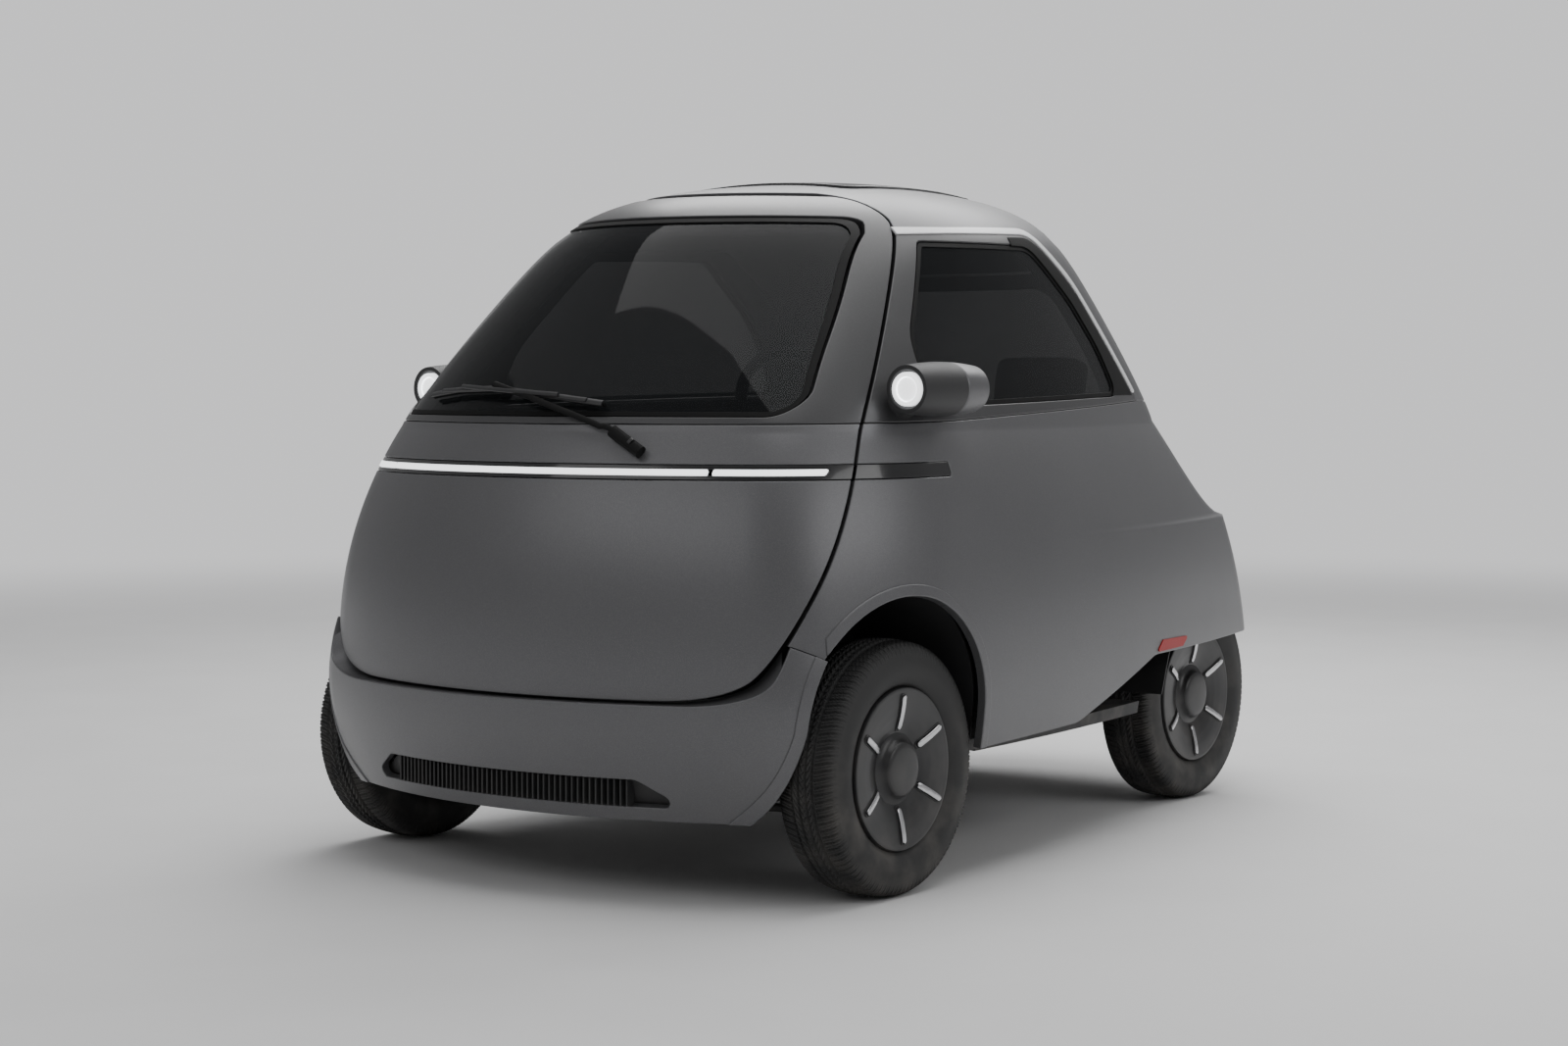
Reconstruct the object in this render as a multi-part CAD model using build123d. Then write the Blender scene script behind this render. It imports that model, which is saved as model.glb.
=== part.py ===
"""Two-seat microcar with a front-opening door, in millimetres.

Frame: +Z up, the nose points to -Y, the car's left side is +X.
The origin is on the ground, midway between the foremost and rearmost points.
"""
import functools
import math
import os

from build123d import *

# ---------------------------------------------------------------- driving sizes
LENGTH = 2519.0          # overall length
WIDTH = 1473.0           # overall width, at the front wings
HEIGHT = 1487.0          # ground to the top of the sunroof panel
WHEELBASE = 1570.0
FRONT_OVERHANG = 470.0   # nose to the front axle
TYRE_RADIUS = 260.0      # loaded radius
TYRE_WIDTH = 145.0
TREAD_FLAT = 22.0        # half width of the level crown of the tread
RIM_RADIUS = 165.0       # 13 inch wheel
FRONT_TRACK_HALF = 640.0     # middle plane of a front tyre
REAR_TRACK_HALF = 448.0      # middle plane of a rear tyre

# body surface, by height
BELT_Z = 940.0           # joint between the tub and the glasshouse
BULGE_Z = 480.0          # height where the tub is longest and widest
TUB_LOW_Z = 168.0
TUB_FRONT_RADIUS = 888.0     # side-view radius of the nose
TUB_SIDE_RADIUS = 1060.0     # front-view radius of the flanks
SUNROOF_RISE = 7.0       # the sunroof panel stands proud of the roof by this much
CAP_STEP = 0.988         # share of the crown's height where the roof turns level
WALL = 36.0              # whole thickness of a body wall or door
GAP = 6.0                # shut line round moving panels
GLASS = 6.0
GLASS_INSET = 5.0        # glass lies this far under the painted skin
DOOR_SET = 14.0          # the door's skin lies this far behind the bumper's nose
BUMPER_SWELL = 18.8      # the bumper stands out from the tub by this much where it is fullest
BUMPER_BULGE_Z = 320.0   # height where the bumper is fullest
SKIRT_Z = 395.0          # lower edge of the body above the rear wheels
CREASE_Z = 700.0         # crease between the tail and the rear deck
TAIL_RAKE = 122.0        # the tail leans forward by this much from skirt to crease
DECK_RUN = 296.0         # the deck runs forward by this much from crease to belt
FLOOR_Z = 262.0          # underside of the floor
FLOOR_THICK = 28.0
FLOOR_STEP = 4.0         # the rest of the floor lies this far above the flat sheet between the axles
FLAT_FLOOR_Y = (-480.0, 330.0)   # front and rear edge of that flat sheet
SEAT_HALF = 480.0        # half width of the bench
STEER_X = 300.0          # the driver sits on the left
CROWN_Y = -60.0          # station of the roof's highest point
HOUSE_LEAN = 195.0       # the side windows lean in by this much up to the roof
SCREEN_LEAN = 425.0      # the windscreen leans back by this much
REAR_LEAN = 416.0        # the rear window leans forward by this much
HOUSE_ROUND = 0.8        # the glasshouse's corners grow rounder by this share up to the roof

UNDER_Z = FLOOR_Z + FLOOR_STEP   # underside of the floor over the axles
ROOF_Z = BELT_Z + (HEIGHT - SUNROOF_RISE * CAP_STEP ** 6 - BELT_Z) / CAP_STEP     # crown of the roof
NOSE_Y = -LENGTH / 2
FRONT_AXLE_Y = NOSE_Y + FRONT_OVERHANG
REAR_AXLE_Y = FRONT_AXLE_Y + WHEELBASE
HALF_W = WIDTH / 2

# plan-view angles where the nose, corner and flank arcs meet (from the centre line)
NOSE_ANGLE = 28.0
FLANK_ANGLE = 68.0
TAIL_ANGLE = 20.0
HIP_ANGLE = 75.0
WIDEST_Y = -690.0        # station of the greatest width of the tub


def arc_pair(width, depth, corner, low, high):
    """Radii of the end arc and side arc of one quadrant.

    The quadrant is a chain of three tangent arcs: an end arc to the angle low,
    a corner arc of the given radius to the angle high, and a side arc to 90 degrees.
    Both outer radii follow from the quadrant's width and depth.
    """
    s1 = math.sin(math.radians(low))
    c1 = math.cos(math.radians(low))
    s2 = math.sin(math.radians(high))
    c2 = math.cos(math.radians(high))
    a = width - corner * (s2 - s1)
    b = depth - corner * (c1 - c2)
    det = s1 * c2 - (1 - s2) * (1 - c1)
    end = (a * c2 - b * (1 - s2)) / det
    side = (s1 * b - (1 - c1) * a) / det
    return end, side


def quadrant(width, depth, corner, low, high):
    """Points of a quadrant from its end (0, depth) to its side (width, 0).

    Returns the joints and the arc middles, in order.
    """
    end, side = arc_pair(width, depth, corner, low, high)
    x, y, last = 0.0, depth, 0.0
    points = [(x, y)]
    for radius, stop in ((end, low), (corner, high), (side, 90.0)):
        for angle in ((last + stop) / 2, stop):
            x += radius * (math.sin(math.radians(angle)) - math.sin(math.radians(last)))
            y -= radius * (math.cos(math.radians(last)) - math.cos(math.radians(angle)))
            points.append((x, y))
            last = angle
    return points


def plan_section(z, sizes, inset=0.0):
    """Closed plan outline of the body at height z, set in by inset."""
    half, front, widest, rear, nose_corner, tail_corner = sizes
    front_pts = quadrant(half - inset, widest - front - inset, nose_corner - inset * 0.6,
                         NOSE_ANGLE, FLANK_ANGLE)
    rear_pts = quadrant(half - inset, rear - widest - inset, tail_corner - inset * 0.6,
                        TAIL_ANGLE, HIP_ANGLE)
    right = [(x, widest - y) for x, y in front_pts]
    back = [(x, widest + y) for x, y in rear_pts][::-1]
    half_line = right + back[1:]
    loop = half_line + [(-x, y) for x, y in half_line[::-1]][1:-1]
    # the nose arc and the tail arc each run across the centre line as one arc
    start = 2
    ring = loop[start:] + loop[:start]
    edges = []
    i = 0
    count = len(ring)
    tail_start = 2 * 6 - 2 - start
    while i < count:
        step = 4 if i in (tail_start, count - 4) else 2
        a = ring[i]
        m = ring[(i + step // 2) % count]
        b = ring[(i + step) % count]
        edges.append(ThreePointArc((a[0], a[1], z), (m[0], m[1], z), (b[0], b[1], z)))
        i += step
    return Wire(edges)


def tub_sizes(z):
    """Half width, front, widest station, rear and corner radii of the tub at height z."""
    rise = z - BULGE_Z
    front = NOSE_Y + DOOR_SET + TUB_FRONT_RADIUS - math.sqrt(TUB_FRONT_RADIUS ** 2 - rise ** 2)
    half = HALF_W - TUB_SIDE_RADIUS + math.sqrt(TUB_SIDE_RADIUS ** 2 - rise ** 2)
    if z <= CREASE_Z:
        rear = LENGTH / 2 - TAIL_RAKE * (z - SKIRT_Z) / (CREASE_Z - SKIRT_Z)
    else:
        deck = (z - CREASE_Z) / (BELT_Z - CREASE_Z)
        rear = LENGTH / 2 - TAIL_RAKE - DECK_RUN * deck ** 0.56
    up = max(0.0, rise) / (BELT_Z - BULGE_Z)
    return half, front, WIDEST_Y + 70.0 * up, rear, 300.0 - 20.0 * up, 235.0 + 25.0 * up


def bumper_sizes(z):
    """The nose below the door: fuller than the tub, with tighter corners."""
    half, front, widest, rear, corner, tail_corner = tub_sizes(z)
    swell = math.cos(math.pi * (z - BUMPER_BULGE_Z) / 560.0)
    merge = min(1.0, max(0.0, (z - BUMPER_BULGE_Z) / 200.0))
    nose_corner = 175.0 + (corner - 175.0) * merge ** 2
    return half, front - BUMPER_SWELL * swell, widest, rear, nose_corner, tail_corner


def house_sizes(z):
    """The same sizes for the glasshouse: a lean times a superellipse dome."""
    t = (z - BELT_Z) / (ROOF_Z - BELT_Z)
    dome = math.sqrt(1 - t ** 12)
    lean = t ** 1.17
    corner = (1 + HOUSE_ROUND * t) * dome
    belt = tub_sizes(BELT_Z)
    half = (belt[0] - HOUSE_LEAN * lean) * dome
    front = CROWN_Y + (belt[1] - CROWN_Y + SCREEN_LEAN * lean) * dome
    rear = CROWN_Y + (belt[3] - CROWN_Y - REAR_LEAN * t ** 1.11) * dome
    widest = CROWN_Y + (belt[2] - CROWN_Y) * (1 - t) * dome
    return half, front, widest, rear, belt[4] * corner, belt[5] * corner


LOWER_LEVELS = (TUB_LOW_Z, 320.0, 480.0, 600.0, CREASE_Z)
DECK_LEVELS = (CREASE_Z, 780.0, 860.0, BELT_Z)
HOUSE_STEPS = (0.0, 0.28, 0.52, 0.72, 0.85, 0.93, 0.97, CAP_STEP)


@functools.lru_cache(maxsize=None)
def tub(inset=0.0, low=TUB_LOW_Z):
    """Solid tub, set in by inset: one loft up to the crease and one above it."""
    lower = [plan_section(z, tub_sizes(z), inset) for z in (low,) + LOWER_LEVELS[1:]]
    deck = [plan_section(z, tub_sizes(z), inset) for z in DECK_LEVELS]
    return Solid.make_loft(lower) + Solid.make_loft(deck)


@functools.lru_cache(maxsize=None)
def bumper_form(inset=0.0, low=TUB_LOW_Z):
    """Solid form of the nose below the door, set in by inset."""
    levels = (low, 240.0, 330.0, 420.0, 520.0)
    return Solid.make_loft([plan_section(z, bumper_sizes(z), inset) for z in levels])


@functools.lru_cache(maxsize=None)
def form(inset=0.0, low=TUB_LOW_Z):
    """Tub and glasshouse as one solid, set in by inset."""
    return tub(inset, low) + house(inset)


def skin(inset, thick):
    """Thin shell of the body form: its outer face lies inset under the paint."""
    return form(inset) - form(inset + thick, TUB_LOW_Z - 20)


def band(sizes_at, low, high, inset, thick):
    """Level strip of the body surface between two heights."""
    outer = [plan_section(z, sizes_at(z), inset) for z in (low, high)]
    inner = [plan_section(z, sizes_at(z), inset + thick) for z in (low, high)]
    return Solid.make_loft(outer, ruled=True) - Solid.make_loft(inner, ruled=True)


@functools.lru_cache(maxsize=None)
def house(inset=0.0):
    """Solid glasshouse, set in by inset."""
    rings = []
    for step in HOUSE_STEPS:
        z = BELT_Z + step * (ROOF_Z - BELT_Z)
        drop = inset * step ** 6
        rings.append(plan_section(z - drop, house_sizes(z), inset))
    return Solid.make_loft(rings)


# ---------------------------------------------------------------- outlines
def rounded(points):
    """Closed wire in the XY plane through corners (u, v, radius)."""
    count = len(points)
    starts = []
    for i, (u, v, radius) in enumerate(points):
        a = Vector(points[i - 1][0] - u, points[i - 1][1] - v, 0)
        b = Vector(points[(i + 1) % count][0] - u, points[(i + 1) % count][1] - v, 0)
        half_angle = math.radians(a.get_angle(b)) / 2
        reach = radius / math.tan(half_angle)
        a = a.normalized()
        b = b.normalized()
        corner = Vector(u, v, 0)
        if radius:
            middle = (a + b).normalized() * (radius / math.sin(half_angle) - radius)
            starts.append((corner + a * reach, corner + middle, corner + b * reach))
        else:
            starts.append((corner, None, corner))
    edges = []
    for i, (enter, middle, leave) in enumerate(starts):
        if middle is not None:
            edges.append(ThreePointArc(enter, middle, leave))
        follow = starts[(i + 1) % count][0]
        if (follow - leave).length > 0.01:
            edges.append(Line(leave, follow))
    return Wire(edges)


SIDE_PLANE = Plane(origin=(0, 0, 0), x_dir=(0, 1, 0), z_dir=(1, 0, 0))
FRONT_PLANE = Plane(origin=(0, 0, 0), x_dir=(1, 0, 0), z_dir=(0, -1, 0))


def prism(face, plane, low, high):
    """Extrude a flat face standing on plane between two distances along its normal."""
    placed = plane * (Pos(0, 0, low) * face)
    return extrude(placed, high - low, dir=plane.z_dir)


def side_prism(points, low=-900.0, high=900.0, grow=0.0):
    """Side-view outline (y, z, radius) run across the car between x = low and high."""
    face = Face(rounded(points))
    if grow:
        face = offset(face, grow)
    return prism(face, SIDE_PLANE, low, high)


def front_prism(points, low, high, grow=0.0):
    """Front-view outline (x, z, radius) run along the car between y = low and high."""
    face = Face(rounded(points))
    if grow:
        face = offset(face, grow)
    return prism(face, FRONT_PLANE, -high, -low)


def mirrored(half_points):
    """Closed symmetric outline from its +X half, listed from the bottom up."""
    return half_points + [(-x, z, r) for x, z, r in half_points[::-1]]


# door seam and openings as outlines: (y, z, corner radius) in side view, (x, z, radius) in front view
DOOR_SEAM = [(-1500, 406, 0), (-1122, 410, 95), (-1036, 579, 1200), (-805, 942, 1000), (-426, 1384, 55),
             (-436, 1438, 25), (-1500, 1448, 0)]
SCREEN_OPENING = mirrored([(544, 968, 42), (480, 1190, 1400), (404, 1384, 60)])
SIDE_WINDOW = [(-578, 984, 20), (-563, 1128, 120), (-400, 1336, 22), (48, 1343, 120), (216, 1222, 300), (320, 1116, 300),
               (386, 1004, 25)]
DRIP_LINE = [(-900, 1352, 0), (-452, 1357, 0), (85, 1378, 170), (262, 1266, 400), (530, 995, 0), (530, 900, 0),
             (-900, 900, 0)]
BELT_LINE = [(-1600, 948, 0), (-500, 954, 0), (520, 990, 0), (1600, 990, 0), (1600, 1700, 0), (-1600, 1700, 0)]
BUMPER_SEAM = [(-1600, 100, 0), (-1600, 600, 0), (-1140, 562, 0), (-900, 440, 0), (-900, 100, 0)]
SKIRT_LINE = [(-700, 0, 0), (-700, 270, 0), (-90, 285, 120), (320, 402, 120), (1500, 396, 0), (1500, 0, 0)]
TAILGATE = mirrored([(385, 790, 60), (300, 1325, 90)])
REAR_GLASS = mirrored([(312, 964, 50), (258, 1285, 70)])
REAR_SEAM = mirrored([(430, 100, 0), (430, 1000, 0)])
BOOT_Z = 568.0
BOOT_THICK = 12.0
GRILLE_LOW_Z = 196.0
GRILLE_TOP_Z = 250.0
GRILLE_OUTLINE = mirrored([(425, GRILLE_LOW_Z, 12), (335, GRILLE_TOP_Z, 30)])
SLAT_PITCH = 13.5
SLAT_THICK = 4.0
SLAT_DEEP = 22.0
SLAT_SET = 10.0          # the slats lie this far inside the bumper's skin
SLATS_A_SIDE = 23
REFLECTOR = [(325, 402 + 6, 4), (361, 434, 4), (536, 430, 4), (499, 402 + 6, 4)]

ARCH_RADIUS = 258.0
ARCH_Z = 350.0
ARCH_Y = -785.0
ARCH_FOOT = (-1085.0, -512.0)    # front and rear ends of the arch at its foot
LINER = 4.0              # wheel housing wall
ARCH_LIP = 12.0          # the housing lies this far outside the arch's edge
ARCH_SKIN = 5.0          # thickness of the painted panel over a wheel housing
REAR_HOUSE_RADIUS = 300.0    # outer radius of a rear wheel housing
LINER_X = 415.0          # inner wall of a front wheel housing
REAR_LINER_X = 352.0
STRIP_Z = (843.0, 871.0)     # black strip across the nose
LED_Z = (851.0, 863.0)       # light line inside the strip
STRIP_END_Y = -566.0     # the strip runs on along the body side to here
LED_HALF = 608.0
LED_BREAK = 431.0        # the light line is broken here, over LED_BREAK_GAP
LED_BREAK_GAP = 9.0
STRIP_DEEP = 4.0
POD_X = 664.0            # lamp and mirror pods
POD_Z = 1021.0
POD_FRONT_Y = -722.0
POD_REAR_Y = -488.0


def wheel_cut(grow=0.0, low=-900.0, high=900.0):
    """Front wheel arch: a half circle over slanted edges."""
    radius = ARCH_RADIUS + grow
    low_z = TUB_LOW_Z - 60
    corners = [(ARCH_Y - radius, ARCH_Z), (ARCH_FOOT[0] - grow, low_z), (ARCH_FOOT[1] + grow, low_z),
               (ARCH_Y + radius, ARCH_Z)]
    edges = [Line(corners[i], corners[i + 1]) for i in range(3)]
    edges.append(ThreePointArc(corners[3], (ARCH_Y, ARCH_Z + radius), corners[0]))
    return prism(Face(Wire(edges)), SIDE_PLANE, low, high)


def rear_house(radius, low, high):
    """Round rear wheel housing, between two distances from the centre plane."""
    return prism(Pos(REAR_AXLE_Y, TYRE_RADIUS) * Circle(radius), SIDE_PLANE, low, high)


def half_space(side):
    """Everything on one side of the centre plane."""
    return Pos(side * 1000.0, 0, 0) * Box(2000, 4000, 4000)


def slab(low, high):
    """Level slab between two heights."""
    return Pos(0, 0, (low + high) / 2) * Box(2000, 4000, high - low)


def box_between(x, y, z):
    """Box between pairs of coordinates."""
    centre = Pos((x[0] + x[1]) / 2, (y[0] + y[1]) / 2, (z[0] + z[1]) / 2)
    return centre * Box(x[1] - x[0], y[1] - y[0], z[1] - z[0])


def rod(start, end, radius):
    """Round rod between two points."""
    a = Vector(*start)
    b = Vector(*end)
    plane = Plane(origin=a, z_dir=(b - a))
    return Solid.make_cylinder(radius, (b - a).length, plane)


def both_sides(shape):
    """A shape and its mirror image in the centre plane."""
    return Compound(children=[*shape.solids(), *mirror(shape, Plane.YZ).solids()])


# ---------------------------------------------------------------- body panels
def make_door(shell):
    """Lower panel and upper screen frame inside the door seam."""
    region = side_prism(DOOR_SEAM)
    door = shell & region
    above = side_prism(BELT_LINE)
    panel = door - above
    panel -= band(tub_sizes, STRIP_Z[0], STRIP_Z[1], -5.0, 5.0 + STRIP_DEEP)
    frame = (door & above) - front_prism(SCREEN_OPENING, -1500, -300)
    return panel, frame


def make_sides(shell):
    """Body sides between the door, the tail, the sill and the belt."""
    side = shell - side_prism(DOOR_SEAM, grow=GAP)
    side -= side_prism(BUMPER_SEAM)
    side -= side_prism(SKIRT_LINE)
    side -= wheel_cut()
    side -= wheel_cut(ARCH_LIP) & tub(ARCH_SKIN)
    side -= rear_house(REAR_HOUSE_RADIUS - LINER, -900.0, 900.0) & tub(ARCH_SKIN)
    side -= side_prism(BELT_LINE)
    side -= front_prism(REAR_SEAM, 300, 1500)
    groove = band(tub_sizes, STRIP_Z[0], STRIP_Z[1], -5.0, 5.0 + STRIP_DEEP)
    side -= groove & box_between((-900, 900), (-900, STRIP_END_Y), (0, 2000))
    return side & half_space(1), side & half_space(-1)


def make_bumper(nose_shell):
    """Nose below the door, back to the wheel arches, with the air inlet."""
    nose = nose_shell & side_prism(BUMPER_SEAM)
    nose -= side_prism(DOOR_SEAM, grow=GAP)
    nose -= wheel_cut()
    nose -= wheel_cut(ARCH_LIP) & bumper_form(ARCH_SKIN)
    return nose - front_prism(GRILLE_OUTLINE, -1500, -900)


def nose_y(x, z, sizes_at):
    """Station of a nose arc at a distance x from the centre plane."""
    half, front, widest, rear, corner, tail_corner = sizes_at(z)
    radius, side = arc_pair(half, widest - front, corner, NOSE_ANGLE, FLANK_ANGLE)
    return front + radius - math.sqrt(radius ** 2 - x ** 2)


def make_grille():
    """Upright slats standing on a curved back panel in the air inlet."""
    back = band(bumper_sizes, GRILLE_LOW_Z, GRILLE_TOP_Z, SLAT_DEEP, 6.0)
    back = back & front_prism(GRILLE_OUTLINE, -1500, -900)
    slats = []
    for i in range(-SLATS_A_SIDE, SLATS_A_SIDE + 1):
        x = i * SLAT_PITCH
        face_y = nose_y(x, GRILLE_TOP_Z, bumper_sizes) + SLAT_SET
        slats.append(box_between((x - SLAT_THICK / 2, x + SLAT_THICK / 2), (face_y, face_y + SLAT_DEEP),
                                 (GRILLE_LOW_Z + 1, GRILLE_TOP_Z - 1)))
    return back + slats


def make_upper(shell):
    """Roof and the window frames below the drip line."""
    rest = (shell - side_prism(DOOR_SEAM, grow=GAP)) & side_prism(BELT_LINE)
    below = side_prism(DRIP_LINE)
    frame = (rest & below) - side_prism(SIDE_WINDOW)
    roof = rest - below
    roof -= front_prism(TAILGATE, 60, 1500, grow=GAP)
    return roof, frame & half_space(1), frame & half_space(-1)


def make_rear(shell):
    """Tail between the body sides, below the tailgate."""
    rear = (shell & front_prism(REAR_SEAM, 300, 1500)) - side_prism(BELT_LINE)
    rear -= side_prism(SKIRT_LINE)
    return rear - front_prism(TAILGATE, 60, 1500, grow=GAP)


def make_tailgate(shell):
    """Upward-opening tailgate with its glass cut out."""
    gate = shell & front_prism(TAILGATE, 60, 1500)
    return gate - front_prism(REAR_GLASS, 60, 1500)


def make_glass():
    """Windscreen, side windows and rear window, cut from one thin skin."""
    pane = skin(GLASS_INSET, GLASS)
    screen = pane & front_prism(SCREEN_OPENING, -1500, -300)
    sides = pane & side_prism(SIDE_WINDOW)
    rear = pane & front_prism(REAR_GLASS, 60, 1500)
    return screen, sides & half_space(1), sides & half_space(-1), rear


# ---------------------------------------------------------------- trim on the skin
def make_strips():
    """Black strip and light line on the door, and the strip's ends on the body sides."""
    strip = band(tub_sizes, STRIP_Z[0], STRIP_Z[1], 0.0, STRIP_DEEP)
    front = strip & side_prism(DOOR_SEAM)
    light = band(tub_sizes, LED_Z[0], LED_Z[1], -1.5, STRIP_DEEP)
    light = light & box_between((-LED_HALF, LED_HALF), (-1500, -820), (0, 2000))
    for x in (-LED_BREAK, LED_BREAK):
        light -= box_between((x - LED_BREAK_GAP / 2, x + LED_BREAK_GAP / 2), (-1500, -700), (0, 2000))
    front -= light
    ends = strip & box_between((-900, 900), (-900, STRIP_END_Y), (0, 2000))
    ends -= side_prism(DOOR_SEAM, grow=GAP)
    return front, light, ends


def raised(base, outline_prism, height=3.0):
    """Piece standing proud of the paint of base, the tub or the glasshouse, inside an outline."""
    return (base(-height) & outline_prism) - base(0.0)


WIPER_PIVOT = (273.0, 902.0)     # x and z of the pivot on the door's skin
WIPER_ARM = [(279, 900, 0), (144, 1002, 0), (136, 1000, 0), (266, 896, 0)]
WIPER_BLADE = [(170, 986, 0), (170, 997, 0), (-150, 1013, 0), (-372, 1004, 0), (-372, 993, 0), (-150, 1002, 0)]


def make_wiper():
    """Wiper lying along the foot of the windscreen: pivot, arm and blade."""
    blade = (house(-17.0) & front_prism(WIPER_BLADE, -1300, -500)) - house(-1.0)
    arm = (form(-20.0) & front_prism(WIPER_ARM, -1300, -500)) - form(-11.0)
    x, z = WIPER_PIVOT
    y = nose_y(x, z, tub_sizes)
    pivot = rod((x, y - 22, z), (x, y + 14, z), 13) - form()
    return arm + blade + pivot


def make_boot_floor():
    """Level tray over the rear wheel housings, out to the body walls."""
    tray = box_between((-900, 900), (500, 1060), (BOOT_Z, BOOT_Z + BOOT_THICK))
    return tray & form(WALL)


def make_drip_strips():
    """Bright strip between the roof and each window frame."""
    edge = side_prism(DRIP_LINE, grow=5.0) - side_prism(DRIP_LINE, grow=-6.0)
    edge = edge & box_between((-900, 900), (-446, 520), (1010, 1500))
    return raised(house, edge)


# ---------------------------------------------------------------- chassis
def make_floor():
    """Floor between the body walls, cut away at the wheels."""
    level = slab(FLOOR_Z, FLOOR_Z + FLOOR_THICK)
    nose = bumper_form(WALL, TUB_LOW_Z - 20) & level & box_between((-900, 900), (-1300, -1000), (0, 500))
    rear = tub(WALL, TUB_LOW_Z - 20) & level & box_between((-900, 900), (-1000, FLAT_FLOOR_Y[1]), (0, 500))
    floor = nose + rear
    floor -= box_between((-900, 900), (-1300, FLAT_FLOOR_Y[0]), (0, UNDER_Z))
    for side in (-1, 1):
        reach = sorted((side * (LINER_X - LINER), side * 900.0))
        floor -= wheel_cut(ARCH_LIP + LINER, *reach)
    tail = box_between((-REAR_LINER_X, REAR_LINER_X), (FLAT_FLOOR_Y[1], 1120), (UNDER_Z, FLOOR_Z + FLOOR_THICK))
    return floor + tail


def make_front_liner():
    """Left front wheel housing: an arched wall closed on its inner side."""
    inner = tub(WALL, TUB_LOW_Z - 20)
    arch = wheel_cut(ARCH_LIP + LINER, LINER_X, 800.0) - wheel_cut(ARCH_LIP, LINER_X - 10, 810.0)
    wall = wheel_cut(ARCH_LIP + LINER, LINER_X - LINER, LINER_X)
    return ((arch & inner) + wall) & slab(200, 700)


def make_rear_liner():
    """Left rear wheel housing."""
    inner = tub(WALL, TUB_LOW_Z - 20)
    arch = rear_house(REAR_HOUSE_RADIUS, REAR_LINER_X, 800.0)
    arch -= rear_house(REAR_HOUSE_RADIUS - LINER, REAR_LINER_X, 800.0)
    wall = rear_house(REAR_HOUSE_RADIUS, REAR_LINER_X - LINER, REAR_LINER_X)
    return ((arch & inner) + wall) & slab(FLOOR_Z + FLOOR_THICK, 700)


def tyre(x, y):
    """Road tyre standing on the ground, its axle along X."""
    half = TYRE_WIDTH / 2
    bead = half - 14
    outline = [(RIM_RADIUS, -bead, 0), (RIM_RADIUS + 40, -half, 40), (TYRE_RADIUS - 26, -half + 5, 16),
               (TYRE_RADIUS - 5, -half + 26, 14), (TYRE_RADIUS, -TREAD_FLAT, 60), (TYRE_RADIUS, TREAD_FLAT, 60),
               (TYRE_RADIUS - 5, half - 26, 14),
               (TYRE_RADIUS - 26, half - 5, 16), (RIM_RADIUS + 40, half, 40), (RIM_RADIUS, bead, 0)]
    face = Face(rounded(outline))
    ring = revolve(Plane.XY * face, Axis.Y)
    return Pos(x, y, TYRE_RADIUS) * Rot(0, 0, -90) * ring


SPOKE_ANGLES = (90.0, 30.0, -30.0, -90.0, -150.0, 150.0)


def rim(x, y, side):
    """Wheel with a dished disc, six spoke inserts and a round cap, facing the given side."""
    half = TYRE_WIDTH / 2
    profile = [(0, half - 22), (150, half - 26), (150, -half + 18), (RIM_RADIUS, -half + 14),
               (RIM_RADIUS, half - 14), (RIM_RADIUS - 6, half - 9), (72, half - 6), (50, half - 4), (44, half + 8),
               (0, half + 10)]
    face = Plane.XY * Face(Wire([Line(profile[i - 1], profile[i]) for i in range(len(profile))]))
    disc = revolve(face, Axis.Y)
    for angle in SPOKE_ANGLES:
        bar = Pos(100, half - 4, 0) * Box(95, 6, 11)
        disc += Rot(0, -angle, 0) * bar
    turn = -90 if side > 0 else 90
    return Pos(x, y, TYRE_RADIUS) * Rot(0, 0, turn) * disc


def make_knuckle():
    """Left front upright with its stub axle."""
    x = FRONT_TRACK_HALF
    y = FRONT_AXLE_Y
    z = TYRE_RADIUS
    post = box_between((x - 18, x + 14), (y - 24, y + 24), (z - 78, z + 78))
    disc = rod((x - 5, y, z), (x + 22, y, z), 72)
    axle = rod((x, y, z), (x + TYRE_WIDTH / 2 - 24, y, z), 28)
    return post + disc + axle


ARM_ROOT_X = 300.0       # inner pivots of the lower wishbones
ARM_SPREAD = 105.0       # their distance from the axle line
LEG_X = 480.0
ARM_HEIGHTS = (160.0, 356.0)


def wishbone(z, root):
    """Two rods from their inner pivots at x = root to a ball joint at the upright."""
    y = FRONT_AXLE_Y
    end = FRONT_TRACK_HALF - 14
    spread = ARM_SPREAD * (end - root) / (end - ARM_ROOT_X)
    arm = rod((FRONT_TRACK_HALF - 6, y, z), (FRONT_TRACK_HALF - 6, y, z + 12), 22)
    for reach in (-spread, spread):
        arm += rod((root, y + reach, z + 6), (end, y, z + 6), 9)
    return arm


def make_front_suspension():
    """Cross-member, wishbones and spring legs."""
    y = FRONT_AXLE_Y
    part = box_between((-330, 330), (y - 60, y + 60), (190, UNDER_Z))
    rail = box_between((296, 322), (y - 120, y + 120), (150, UNDER_Z))
    lower = wishbone(ARM_HEIGHTS[0], ARM_ROOT_X)
    pan = box_between((LEG_X - 24, LEG_X + 24), (y - 70, y + 70), (158, 174))
    leg = rod((LEG_X, y, 166), (LEG_X, y, 600), 24)
    bracket = box_between((LINER_X, LEG_X), (y - 20, y + 20), (560, 590))
    side = rail + lower + pan + leg + bracket
    part += side
    part += mirror(side, Plane.YZ)
    upper = wishbone(ARM_HEIGHTS[1], LINER_X - 6) & box_between((LINER_X, 900), (-1300, -300), (0, 900))
    return Compound(children=[*part.solids(), *both_sides(upper).solids()])


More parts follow.
